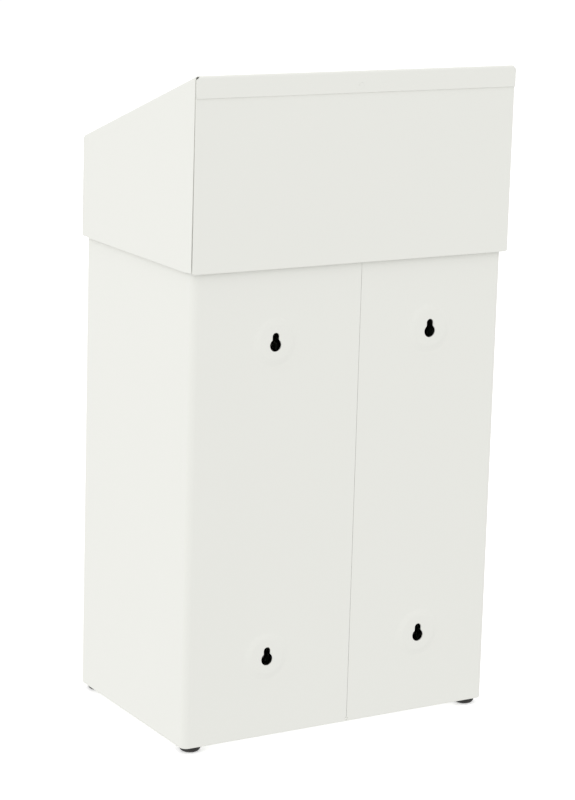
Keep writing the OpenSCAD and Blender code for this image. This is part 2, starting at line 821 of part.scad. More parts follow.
// Middle line of a spring: leg under the flap, coil round the rod, leg and foot under the top
function spring_path(steps) = let (
  sweep = 270 + 360 * spring_turns,
  count = steps * (spring_turns + 0.75),
  end_x = spring_x - spring_pitch * sweep / 360,
  bend = 1.5 * spring_wire,
  foot_n = -hood_sheet - spring_wire / 2,
  rise_s = rod_s - spring_r
) concat(
  [[spring_x, rod_s - spring_leg, spring_under], [spring_x, rod_s - spring_leg / 2, spring_under]],
  [for (i = [0:count]) let (turn = i / count, a = 90 - sweep * turn)
    [spring_x + (end_x - spring_x) * turn, rod_s + spring_r * cos(a), rod_n + spring_r * sin(a)]],
  [for (a = [180:-22.5:90])
    [end_x, rise_s + bend + bend * cos(a), foot_n - bend + bend * sin(a)]],
  [[end_x, rise_s + bend + spring_foot, foot_n]]
);

// A round wire along a path whose run is never along X
module wire(path, d, sides) {
  last = len(path) - 1;
  rings = [for (i = [0:last]) let (
    t = unit(path[min(i + 1, last)] - path[max(i - 1, 0)]),
    u = unit(cross(t, [1, 0, 0])),
    v = cross(t, u)
  ) for (j = [0:sides - 1]) path[i] + d / 2 * (cos(360 * j / sides) * u + sin(360 * j / sides) * v)];
  walls = [for (i = [0:last - 1], j = [0:sides - 1]) let (
    a = i * sides + j,
    b = i * sides + (j + 1) % sides
  ) each [[a, b, a + sides], [b, b + sides, a + sides]]];
  far_end = last * sides;
  ends = [for (j = [1:sides - 2]) each [[0, j + 1, j], [far_end, far_end + j, far_end + j + 1]]];
  polyhedron(points = rings, faces = concat(walls, ends));
}

module spring_left() {
  color(zinc) over_slope() mirror([1, 0, 0]) wire(spring_path(16), spring_wire, 8);
}

module spring_right() {
  color(zinc) over_slope() wire(spring_path(16), spring_wire, 8);
}

body_shell();
seam_strip();
base_pan();
foot_front_left();
foot_front_right();
foot_rear_left();
foot_rear_right();
foot_washers();
foot_screws();
foot_nuts();
frame_clip_left();
frame_clip_right();
frame_rest_left();
frame_rest_right();
bag_frame();
hood_cover();
hood_rear_panel();
flange_rivet();
ledge_left();
ledge_right();
hood_buffers();
hinge_bracket_left();
hinge_bracket_right();
hinge_rod();
rod_caps();
flap();
flap_bush_left();
flap_bush_right();
flap_stops();
spring_left();
spring_right();
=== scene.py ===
"""Looks of the waste bin: its finishes, refined pieces, studio and camera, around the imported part."""

import logging
import math
from dataclasses import dataclass
from enum import Enum
from typing import Any, Callable, ClassVar, Optional

import bpy
from mathutils import Matrix, Vector
from mathutils.geometry import delaunay_2d_cdt


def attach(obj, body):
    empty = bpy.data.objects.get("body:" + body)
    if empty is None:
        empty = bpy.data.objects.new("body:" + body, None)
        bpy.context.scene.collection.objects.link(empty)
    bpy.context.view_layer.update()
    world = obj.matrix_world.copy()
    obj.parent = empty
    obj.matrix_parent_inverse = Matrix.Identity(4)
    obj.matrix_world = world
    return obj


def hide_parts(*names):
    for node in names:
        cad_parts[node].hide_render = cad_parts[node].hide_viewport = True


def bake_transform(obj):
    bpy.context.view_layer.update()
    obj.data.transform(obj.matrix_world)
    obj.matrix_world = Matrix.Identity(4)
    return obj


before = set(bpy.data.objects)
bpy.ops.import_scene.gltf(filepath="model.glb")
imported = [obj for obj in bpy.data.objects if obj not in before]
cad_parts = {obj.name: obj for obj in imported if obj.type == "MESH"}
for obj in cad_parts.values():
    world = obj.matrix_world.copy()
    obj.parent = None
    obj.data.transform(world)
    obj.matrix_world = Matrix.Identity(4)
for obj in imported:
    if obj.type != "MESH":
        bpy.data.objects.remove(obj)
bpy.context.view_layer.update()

log = logging.getLogger("waste_bin")

Triple = tuple[float, float, float]
Point = tuple[float, float]
Loop = list[Point]

MM = 0.001
SIDES = (-1, 1)
WHITE = (1.0, 1.0, 1.0, 1.0)
# Numbers of the Mix node's inputs for two colours, and of its mixed colour
MIX_COLOURS = (6, 7)
MIX_RESULT = 2


class Slot(Enum):
    """The record's material slots."""

    PAINT = "paint"
    RUBBER = "rubber"
    ZINC = "zinc"
    SPRING_STEEL = "spring_steel"
    NYLON = "nylon"


class Value:
    """A number that varies over a surface, on which sums can be written as Python expressions."""

    def __init__(self, nodes: "Nodes", socket: bpy.types.NodeSocket) -> None:
        """Wraps an output socket of a tree, which carries a number."""
        self.nodes = nodes
        self.socket = socket

    def _maths(self, operation: str, first: Any, second: Any) -> "Value":
        """Adds a Math node for two values or plain numbers, and returns its result."""
        node = self.nodes.add("ShaderNodeMath", {"operation": operation}, {0: first, 1: second})
        return Value(self.nodes, node.outputs[0])

    def __add__(self, other: Any) -> "Value":
        """This value plus another."""
        return self._maths("ADD", self, other)

    def __radd__(self, other: Any) -> "Value":
        """A number plus this value."""
        return self._maths("ADD", other, self)

    def __sub__(self, other: Any) -> "Value":
        """This value less another."""
        return self._maths("SUBTRACT", self, other)

    def __rsub__(self, other: Any) -> "Value":
        """A number less this value."""
        return self._maths("SUBTRACT", other, self)

    def __mul__(self, other: Any) -> "Value":
        """This value times another."""
        return self._maths("MULTIPLY", self, other)

    def __rmul__(self, other: Any) -> "Value":
        """A number times this value."""
        return self._maths("MULTIPLY", other, self)

    def clamped(self) -> "Value":
        """This value, kept between 0 and 1."""
        return self._maths("MINIMUM", self._maths("MAXIMUM", self, 0.0), 1.0)

    def swing(self, amount: float) -> "Value":
        """A noise round a half, turned into a swing round 0."""
        return (self - 0.5) * amount


class Nodes:
    """A node tree, to which one method adds every node."""

    def __init__(self, tree: bpy.types.NodeTree) -> None:
        """Empties the tree of a material or of the world."""
        self.tree = tree
        self.tree.nodes.clear()

    def add(
        self,
        kind: str,
        settings: Optional[dict[str, Any]] = None,
        inputs: Optional[dict[Any, Any]] = None,
    ) -> bpy.types.Node:
        """Adds a node, sets its own settings, then its sockets.

        Args:
            kind: the node's type.
            settings: the node's properties.
            inputs: values, or links as a Value or socket, by the input's name or number.

        Returns:
            The node.
        """
        node = self.tree.nodes.new(kind)
        for name, value in (settings or {}).items():
            setattr(node, name, value)
        for name, value in (inputs or {}).items():
            if isinstance(value, Value):
                value = value.socket
            if isinstance(value, bpy.types.NodeSocket):
                self.tree.links.new(value, node.inputs[name])
            else:
                node.inputs[name].default_value = value
        return node


@dataclass(frozen=True)
class Noise:
    """Cloudy noise: its largest features' width in metres, its finer layers, and how it is squeezed."""

    size: float
    detail: float = 2.0
    rough: float = 0.5
    squeeze: Triple = (1.0, 1.0, 1.0)


class Shader(Nodes):
    """The node tree of one material, with the nodes that the finishes share."""

    def __init__(self, name: str) -> None:
        """Makes an empty material.

        Args:
            name: the material's name.
        """
        self.material = bpy.data.materials.new(name)
        self.material.use_nodes = True
        super().__init__(self.material.node_tree)
        self.place = self.add("ShaderNodeTexCoord").outputs["Object"]

    def noise(self, noise: Noise) -> Value:
        """Adds a cloudy noise.

        Args:
            noise: its size and form.

        Returns:
            The noise, about 0.3 to 0.7.
        """
        squeezed = self.add(
            "ShaderNodeMapping", {"vector_type": "POINT"}, {"Vector": self.place, "Scale": noise.squeeze}
        )
        node = self.add(
            "ShaderNodeTexNoise",
            {"noise_dimensions": "3D"},
            {
                "Vector": squeezed.outputs[0],
                "Scale": 1 / noise.size,
                "Detail": noise.detail,
                "Roughness": noise.rough,
            },
        )
        return Value(self, node.outputs["Fac"])

    def cells(self, size: float) -> Value:
        """Adds a pattern of random cells.

        Args:
            size: the cells' width, in metres.

        Returns:
            A grey for each cell, from 0 to 1.
        """
        inputs = {"Vector": self.place, "Scale": 1 / size}
        node = self.add("ShaderNodeTexVoronoi", {"feature": "F1"}, inputs)
        grey = self.add("ShaderNodeSeparateColor", {}, {0: node.outputs["Color"]})
        return Value(self, grey.outputs[0])

    def blend(self, share: Value, low: Triple, high: Triple) -> bpy.types.NodeSocket:
        """Mixes two colours.

        Args:
            share: how much of the second colour shows.
            low: the first colour.
            high: the second colour.

        Returns:
            The mixed colour.
        """
        first, second = MIX_COLOURS
        node = self.add(
            "ShaderNodeMix", {"data_type": "RGBA"}, {0: share, first: (*low, 1.0), second: (*high, 1.0)}
        )
        return node.outputs[MIX_RESULT]

    def bump(self, height: Value, depth: float) -> bpy.types.NodeSocket:
        """Turns a height of about 0 to 1 into a normal, with the depth of that range in metres."""
        node = self.add("ShaderNodeBump", {}, {"Strength": 1.0, "Distance": depth, "Height": height})
        return node.outputs[0]

    def surface(self, **inputs: Any) -> bpy.types.Material:
        """Ends the tree in a Principled shader.

        Args:
            **inputs: the shader's sockets, with _ for each space in their names.

        Returns:
            The material.
        """
        named = {name.replace("_", " "): value for name, value in inputs.items()}
        shader = self.add("ShaderNodeBsdfPrincipled", {}, named)
        self.add("ShaderNodeOutputMaterial", {}, {"Surface": shader.outputs[0]})
        return self.material


@dataclass(frozen=True)
class Tint:
    """Two colours, mixed where a noise passes a level."""

    low: Triple
    high: Triple
    level: float
    gain: float

    def over(self, shader: Shader, noise: Value) -> bpy.types.NodeSocket:
        """The colour that the noise gives."""
        return shader.blend(((noise - self.level) * self.gain).clamped(), self.low, self.high)


@dataclass(frozen=True)
class PowderCoat:
    """Satin powder coat, baked on steel sheet, with a fine orange peel."""

    colour: Triple = (0.872, 0.876, 0.826)
    shade: float = 0.985
    cloud: Noise = Noise(0.09, 3.0)
    cloud_share: float = 0.7
    cloud_swing: float = 0.08
    grain: Noise = Noise(0.0005, 1.0)
    grain_share: float = 0.3
    grain_rise: float = 0.2
    peel: Noise = Noise(0.0021, 2.0, 0.4)
    peel_swing: float = 0.12
    peel_depth: float = 0.000006
    roughness: float = 0.36
    specular: float = 0.45

    def material(self) -> bpy.types.Material:
        """Builds the finish's material.

        Returns:
            The material.
        """
        s = Shader("powder_coat")
        cloud = s.noise(self.cloud)
        grain = s.noise(self.grain)
        peel = s.noise(self.peel)
        dark = tuple(c * self.shade for c in self.colour)
        mottle = (cloud * self.cloud_share + grain * self.grain_share).clamped()
        return s.surface(
            Base_Color=s.blend(mottle, dark, self.colour),
            Roughness=self.roughness + peel.swing(self.peel_swing) + cloud.swing(self.cloud_swing),
            Normal=s.bump(peel + grain * self.grain_rise, self.peel_depth),
            Specular_IOR_Level=self.specular,
        )


@dataclass(frozen=True)
class Clouded:
    """What the other finishes share: a tint and a roughness that drift over them, and a fine grain."""

    name: ClassVar[str]
    metallic: ClassVar[float] = 0.0
    tint: Tint
    cloud: Noise
    grain: Noise
    grain_depth: float
    roughness: float
    swing: float

    def rough(self, shader: Shader, cloud: Value, grain: Value) -> Value:
        """The roughness, which drifts with the clouds."""
        return self.roughness + cloud.swing(self.swing)

    def material(self) -> bpy.types.Material:
        """Builds the finish's material.

        Returns:
            The material.
        """
        s = Shader(self.name)
        cloud = s.noise(self.cloud)
        grain = s.noise(self.grain)
        return s.surface(
            Base_Color=self.tint.over(s, cloud),
            Metallic=self.metallic,
            Roughness=self.rough(s, cloud, grain),
            Normal=s.bump(grain, self.grain_depth),
        )


@dataclass(frozen=True)
class MouldedRubber(Clouded):
    """Black moulded rubber with a dull skin and a little dust."""

    name: ClassVar[str] = "moulded_rubber"
    tint: Tint = Tint((0.013, 0.012, 0.011), (0.034, 0.032, 0.029), 0.45, 4.0)
    cloud: Noise = Noise(0.012, 4.0, 0.6)
    grain: Noise = Noise(0.0006)
    grain_depth: float = 0.00003
    roughness: float = 0.62
    swing: float = 0.3


@dataclass(frozen=True)
class ZincPlate(Clouded):
    """Bright zinc plate with a faint blue and straw tint that drifts over it."""

    name: ClassVar[str] = "zinc_plate"
    metallic: ClassVar[float] = 1.0
    tint: Tint = Tint((0.62, 0.64, 0.67), (0.69, 0.67, 0.62), 0.4, 5.0)
    cloud: Noise = Noise(0.018, 3.0)
    grain: Noise = Noise(0.0003)
    grain_depth: float = 0.000008
    roughness: float = 0.3
    swing: float = 0.2
    spangle: float = 0.0012
    spangle_share: float = 0.1

    def rough(self, shader: Shader, cloud: Value, grain: Value) -> Value:
        """The roughness, which also differs from spangle to spangle."""
        return self.roughness + shader.cells(self.spangle) * self.spangle_share + cloud.swing(self.swing)


@dataclass(frozen=True)
class SpringSteel(Clouded):
    """Drawn spring wire, darkened by its tempering, with fine draw lines as its grain."""

    name: ClassVar[str] = "spring_wire"
    metallic: ClassVar[float] = 1.0
    tint: Tint = Tint((0.36, 0.35, 0.34), (0.27, 0.25, 0.24), 0.35, 3.0)
    cloud: Noise = Noise(0.006, 3.0)
    grain: Noise = Noise(0.0004, 1.0, 0.5, (1.0, 0.12, 0.12))
    grain_depth: float = 0.000012
    roughness: float = 0.32
    swing: float = 0.25

    def rough(self, shader: Shader, cloud: Value, grain: Value) -> Value:
        """The roughness, which follows the draw lines."""
        return self.roughness + grain.swing(self.swing)


@dataclass(frozen=True)
class MouldedNylon(Clouded):
    """Natural moulded nylon, a little cloudy."""

    name: ClassVar[str] = "moulded_nylon"
    tint: Tint = Tint((0.74, 0.73, 0.66), (0.69, 0.67, 0.58), 0.3, 2.5)
    cloud: Noise = Noise(0.004, 3.0)
    grain: Noise = Noise(0.0004)
    grain_depth: float = 0.00001
    roughness: float = 0.42
    swing: float = 0.2


FINISHES = {
    Slot.PAINT: PowderCoat(),
    Slot.RUBBER: MouldedRubber(),
    Slot.ZINC: ZincPlate(),
    Slot.SPRING_STEEL: SpringSteel(),
    Slot.NYLON: MouldedNylon(),
}


def linked(name: str, data: bpy.types.ID) -> bpy.types.Object:
    """Makes an object and puts it into the scene.

    Args:
        name: the object's name.
        data: its mesh or camera.

    Returns:
        The object.
    """
    made = bpy.data.objects.new(name, data)
    bpy.context.scene.collection.objects.link(made)
    return made


def solid(name: str, verts: list[Vector], faces: list[list[int]]) -> bpy.types.Object:
    """Makes a smoothly shaded piece.

    Args:
        name: the piece's name.
        verts: its points, in millimetres.
        faces: the numbers of each face's points.

    Returns:
        The piece, in metres.
    """
    mesh = bpy.data.meshes.new(name)
    mesh.from_pydata([v * MM for v in verts], [], faces)
    mesh.shade_smooth()
    return linked(name, mesh)


def arc(middle: Point, radius: float, first: float, last: float, steps: int) -> Loop:
    """Finds the points of an arc from its middle, radius, first and last angle and number of steps."""
    angles = [first + (last - first) * i / steps for i in range(steps + 1)]
    return [(middle[0] + radius * math.cos(a), middle[1] + radius * math.sin(a)) for a in angles]


@dataclass(frozen=True)
class RoundedBox:
    """A rectangle with rounded corners, in the plane of a sheet."""

    x: float
    y: float
    half_x: float = 0.0
    half_y: float = 0.0
    radius: float = 0.0

    def ring(self, out: float, steps: int) -> Loop:
        """Its outline, moved outwards.

        Args:
            out: the distance outwards, negative for inwards.
            steps: how many steps each corner has.

        Returns:
            The points, counterclockwise.
        """
        points = []
        core_x, core_y = self.half_x - self.radius, self.half_y - self.radius
        for quarter, (sx, sy) in enumerate(((1, 1), (-1, 1), (-1, -1), (1, -1))):
            corner = (self.x + sx * core_x, self.y + sy * core_y)
            for i in range(steps + 1):
                angle = (quarter + i / steps) * math.pi / 2
                reach = self.radius + out
                points.append((corner[0] + reach * math.cos(angle), corner[1] + reach * math.sin(angle)))
        return points

    def polar(self, u: float, v: float) -> tuple[Point, Point, float]:
        """Finds a point from the box that the corners' middles make.

        Args:
            u: the point's place along X.
            v: the point's place along Y.

        Returns:
            The nearest point of that box, the way out from it, and the distance from the outline.
        """
        core_x, core_y = self.half_x - self.radius, self.half_y - self.radius
        near = (
            self.x + min(max(u - self.x, -core_x), core_x),
            self.y + min(max(v - self.y, -core_y), core_y),
        )
        away = math.hypot(u - near[0], v - near[1])
        if away < FlatPattern.ON_LINE:
            return near, (0.0, 0.0), -self.radius
        return near, ((u - near[0]) / away, (v - near[1]) / away), away - self.radius


@dataclass(frozen=True)
class Bend:
    """A round fold in a sheet: how far a point has gone into it, and which way its face then looks."""

    radius: float
    degrees: float = 90.0
    steps: int = 6

    @property
    def length(self) -> float:
        """Its length along the sheet's outer face."""
        return self.radius * math.radians(self.degrees)

    def walk(self, run: float, depth: float) -> Point:
        """Goes along the fold and on past it.

        Args:
            run: the distance along the outer face from the start of the fold.
            depth: the depth below the outer face.

        Returns:
            How far forward and how far down the point is from the start of the fold.
        """
        turned = min(max(run, 0.0), self.length) / self.radius
        beyond = run - min(max(run, 0.0), self.length)
        reach = self.radius - depth
        forward = reach * math.sin(turned) + beyond * math.cos(turned)
        down = self.radius - reach * math.cos(turned) + beyond * math.sin(turned)
        return forward, down

    def stops(self) -> list[float]:
        """The distances from its start at which the fold is divided."""
        return [self.length * i / self.steps for i in range(self.steps + 1)]


class Way(Enum):
    """Which way a fold line runs over a flat pattern, with that way's place in a point."""

    ALONG_U = 0
    ALONG_V = 1

    def point(self, along: float, across: float) -> Point:
        """The point at a place along such a line, from the line's place across the pattern."""
        return (along, across) if self is Way.ALONG_U else (across, along)


class FlatPattern:
    """A sheet cut to a flat pattern and folded into shape, as one closed solid.

    Its cut edges are shaded as if they were rounded.
    """

    DIGITS: ClassVar[int] = 5
    MERGED: ClassVar[float] = 1e-5
    CLOSE: ClassVar[float] = 1e-6
    ON_LINE: ClassVar[float] = 1e-9
    CROSSED: ClassVar[float] = -1e-12
    SLOPE_STEP: ClassVar[float] = 0.02
    EDGE_STEP: ClassVar[float] = 0.01
    SHARPEST: ClassVar[float] = 0.4

    def __init__(
        self, place: Callable[[float, float, float], Vector], sheet: float, edge: float = 0.2
    ) -> None:
        """Starts a pattern.

        Args:
            place: where a point of the flat pattern goes, from u, v and the depth below its outer face.
            sheet: the sheet's thickness.
            edge: the width of the strip along each cut edge that is shaded as a rounding.
        """
        self.place = place
        self.sheet = sheet
        self.edge = edge
        self.loops: list[Loop] = []
        self.lines: list[Loop] = []

    def cut(self, loop: Loop) -> None:
        """Cuts along a loop: the outline first, then each hole.

        Args:
            loop: the loop's points, either way round.
        """
        area = sum(a[0] * b[1] - b[0] * a[1] for a, b in zip(loop, loop[1:] + loop[:1]))
        wanted = 1 if not self.loops else -1
        self.loops.append(list(loop) if area * wanted > 0 else list(reversed(loop)))

    def cut_both(self, right: Loop) -> None:
        """Cuts along a loop whose right half is given, from its middle round to its middle."""
        self.cut(right + [(-u, v) for u, v in reversed(right)])

    def cut_hole(self, u: float, v: float, radius: float, steps: int) -> None:
        """Cuts a round hole, with a number of steps in each quarter."""
        self.cut(RoundedBox(u, v).ring(radius, steps))

    def line(self, points: Loop, closed: bool = False) -> None:
        """Adds a line or ring on which the form changes. An end on a cut edge is a point of its loop."""
        self.lines.append(points + points[:1] if closed else points)

    def bend_round(self, rings: list[Loop], edge: Loop) -> None:
        """Adds the rings of a bend that runs round a form, and lines on from them to its cut edge.

        Args:
            rings: the rings at which the bend is divided.
            edge: the cut edge's points, one for each of a ring's.
        """
        for ring in rings:
            self.line(ring, closed=True)
        for start, end in zip(rings[-1], edge):
            self.line([start, end])

    def fold(self, way: Way, at: float, low: float, high: float) -> None:
        """Adds a straight line across the pattern, from edge to edge, and its ends to the loops.

        Args:
            way: which way the line runs.
            at: where it lies across that way.
            low: the lowest place that it reaches.
            high: the highest place that it reaches.
        """
        along, across = way.value, 1 - way.value
        ends = {low, high}
        least, most = low - self.CLOSE, high + self.CLOSE
        for loop in self.loops:
            i = 0
            while i < len(loop):
                a, b = loop[i], loop[(i + 1) % len(loop)]
                if (a[across] - at) * (b[across] - at) < self.CROSSED:
                    share = (at - a[across]) / (b[across] - a[across])
                    met = a[along] + share * (b[along] - a[along])
                    if least <= met <= most:
                        loop.insert(i + 1, way.point(met, at))
                        ends.add(met)
                        i += 1
                elif abs(a[across] - at) < self.ON_LINE and least <= a[along] <= most:
                    ends.add(a[along])
                i += 1
        stops = sorted(ends)
        for a, b in zip(stops, stops[1:]):
            if b - a > self.CLOSE and self._inside(way.point((a + b) / 2, at), self.loops):
                self.lines.append([way.point(a, at), way.point(b, at)])

    def build(self, name: str) -> bpy.types.Object:
        """Makes the folded sheet.

        Args:
            name: the piece's name.

        Returns:
            The piece, in metres.
        """
        mitres = [self._mitres(loop) for loop in self.loops]
        flat, triangles, edges = self._net(mitres)
        turned = self._turned(*flat[triangles[0][0]])
        size = len(flat)
        verts = [self.place(u, v, depth) for depth in (0.0, self.sheet) for u, v in flat]
        looks = [self._look(u, v, turned) for u, v in flat]
        normals = looks + [-look for look in looks]
        faces = triangles + [[i + size for i in reversed(triangle)] for triangle in triangles]
        for loop, mitre, edge in zip(self.loops, mitres, edges):
            count = len(loop)
            rows = [edge]
            for inset, depth, outwards, upwards in self._edge_rows():
                rows.append(list(range(len(verts), len(verts) + count)))
                for (u, v), (mu, mv), top in zip(loop, mitre, edge):
                    verts.append(self.place(u + mu * inset, v + mv * inset, depth))
                    inner = self.place(u + mu * self.EDGE_STEP, v + mv * self.EDGE_STEP, depth)
                    out = (self.place(u, v, depth) - inner).normalized()
                    normals.append((looks[top] * upwards + out * outwards).normalized())
            rows.append([i + size for i in edge])
            for upper, lower in zip(rows, rows[1:]):
                for i in range(count):
                    j = (i + 1) % count
                    faces.append([upper[j], upper[i], lower[i], lower[j]])
        if turned:
            faces = [list(reversed(face)) for face in faces]
        piece = solid(name, verts, faces)
        piece.data.normals_split_custom_set_from_vertices(normals)
        return piece

    def _net(self, mitres: list[Loop]) -> tuple[Loop, list[list[int]], list[list[int]]]:
        """Divides the pattern's face into triangles, along its loops and lines.

        Args:
            mitres: how each point of each loop moves when its edge moves inwards.

        Returns:
            The points, the triangles, and the numbers of each loop's points.
        """
        points: Loop = []
        sides: list[tuple[int, int]] = []
        spans: list[range] = []
        known: dict[Point, int] = {}
        for loop, mitre in zip(self.loops, mitres):
            span = range(len(points), len(points) + len(loop))
            spans.append(span)
            for number, (u, v), (mu, mv) in zip(span, loop, mitre):
                known[self._key(u, v)] = number
                points.append((u + mu * self.edge, v + mv * self.edge))
            sides += list(zip(span, list(span[1:]) + [span[0]]))
        for line in self.lines:
            numbers = []
            for u, v in line:
                if self._key(u, v) not in known:
                    known[self._key(u, v)] = len(points)
                    points.append((u, v))
                numbers.append(known[self._key(u, v)])
            sides += list(zip(numbers, numbers[1:]))
        found, _, triangles, sources, _, _ = delaunay_2d_cdt(
            [Vector(p) for p in points], sides, [], 1, self.MERGED, True
        )
        flat = [points[s[0]] if s else (p[0], p[1]) for p, s in zip(found, sources)]
        place_of = {s: i for i, row in enumerate(sources) for s in row}
        inner = [[points[i] for i in span] for span in spans]
        kept = []
        for triangle in triangles:
            middle = tuple(sum(flat[i][k] for i in triangle) / len(triangle) for k in (0, 1))
            if self._inside(middle, inner):
                kept.append(triangle)
        used = sorted({i for triangle in kept for i in triangle})
        renumber = {i: k for k, i in enumerate(used)}
        return (
            [flat[i] for i in used],
            [[renumber[i] for i in triangle] for triangle in kept],
            [[renumber[place_of[i]] for i in span] for span in spans],
        )

    def _key(self, u: float, v: float) -> Point:
        """A point, rounded so that it can be found again."""
        return round(u, self.DIGITS), round(v, self.DIGITS)

    def _edge_rows(self) -> list[tuple[float, float, float, float]]:
        """The rows of points that a cut edge has, from the outer face to the inner.

        Returns:
            How far each is set in, its depth, and how far its face looks outwards and upwards.
        """
        half = math.sqrt(0.5)
        upper = [((1 - half) * self.edge, half, math.sqrt(1 - half * half)), (0.0, 1.0, 0.0)]
        return [(near, near, outwards, upwards) for near, outwards, upwards in upper] + [
            (near, self.sheet - near, outwards, -upwards) for near, outwards, upwards in reversed(upper)
        ]

    @staticmethod
    def _inside(point: Point, loops: list[Loop]) -> bool:
        """Says whether a point is on the sheet.

        Args:
            point: the point.
            loops: the sheet's outline and holes.

        Returns:
            Whether it is inside the outline and outside the holes.
        """
        u, v = point
        inside = False
        for loop in loops:
            for a, b in zip(loop, loop[1:] + loop[:1]):
                if (a[1] > v) != (b[1] > v) and u < a[0] + (v - a[1]) * (b[0] - a[0]) / (b[1] - a[1]):
                    inside = not inside
        return inside

    @classmethod
    def _mitres(cls, loop: Loop) -> Loop:
        """How each point of a loop moves when the edge moves one unit into the sheet.

        Args:
            loop: the loop, with the sheet on its left.

        Returns:
            The movements.
        """
        moves = []
        for before, here, after in zip(loop[-1:] + loop[:-1], loop, loop[1:] + loop[:1]):
            a = Vector((here[0] - before[0], here[1] - before[1])).normalized()
            b = Vector((after[0] - here[0], after[1] - here[1])).normalized()
            spread = max(1 + a.dot(b), cls.SHARPEST)
            moves.append((-(a.y + b.y) / spread, (a.x + b.x) / spread))
        return moves

    def _across(self, u: float, v: float) -> Vector:
        """The way across the outer face at a point.

        Args:
            u: the point's place in the pattern.
            v: its other place.

        Returns:
            A vector square to the face, of any length.
        """
        h = self.SLOPE_STEP
        along_u = self.place(u + h, v, 0.0) - self.place(u - h, v, 0.0)
        along_v = self.place(u, v + h, 0.0) - self.place(u, v - h, 0.0)
        return along_u.cross(along_v)

    def _turned(self, u: float, v: float) -> bool:
        """Whether the folded sheet's outer face looks the other way than its pattern."""
        return self._across(u, v).dot(self.place(u, v, 0.0) - self.place(u, v, self.sheet)) < 0

    def _look(self, u: float, v: float, turned: bool) -> Vector:
        """The way that the outer face looks, on a sheet that may face the other way than its pattern."""
        return self._across(u, v).normalized() * (-1 if turned else 1)


@dataclass
class Assembly:
    """A sub-assembly: the body that its pieces move with, and the materials that they can wear."""

    body: ClassVar[str]
    SOFTENING: ClassVar[tuple[tuple[str, str, dict[str, Any]], ...]] = (
        ("joined", "WELD", {"merge_threshold": 0.00001}),
        ("plain", "DECIMATE", {"decimate_type": "DISSOLVE", "angle_limit": 0.002}),
        (
            "softened",
            "BEVEL",
            {"segments": 2, "limit_method": "ANGLE", "angle_limit": 0.6, "harden_normals": True},
        ),
    )
    materials: dict[Slot, bpy.types.Material]

    def keep(self, slot: Slot, *names: str, soften: float = 0.0) -> None:
        """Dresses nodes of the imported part, which keep their own solids.

        Args:
            slot: the nodes' material slot.
            *names: the nodes.
            soften: the radius given to their edges, in metres, or 0.
        """
        material = self.materials[slot]
        for name in names:
            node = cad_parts[name]
            node.data.materials.clear()
            node.data.materials.append(material)
            if soften:
                for title, kind, settings in self.SOFTENING:
                    modifier = node.modifiers.new(title, kind)
                    for key, value in settings.items():
                        setattr(modifier, key, value)
                modifier.width = soften
            log.info("%s: the packed solid, in %s", name, material.name)

    def dress(self, piece: bpy.types.Object, slot: Slot, *nodes: str) -> None:
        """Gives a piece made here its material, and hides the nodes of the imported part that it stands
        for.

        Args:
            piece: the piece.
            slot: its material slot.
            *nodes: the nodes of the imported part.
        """
        material = self.materials[slot]
        piece.data.materials.append(material)
        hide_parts(*nodes)
        log.info("%s: %d faces, in %s", piece.name, len(piece.data.polygons), material.name)

    def wear(self, piece: bpy.types.Object, slot: Slot, *nodes: str) -> None:
        """Dresses a piece made here and hangs it on the sub-assembly's body."""
        self.dress(piece, slot, *nodes)
        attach(piece, self.body)


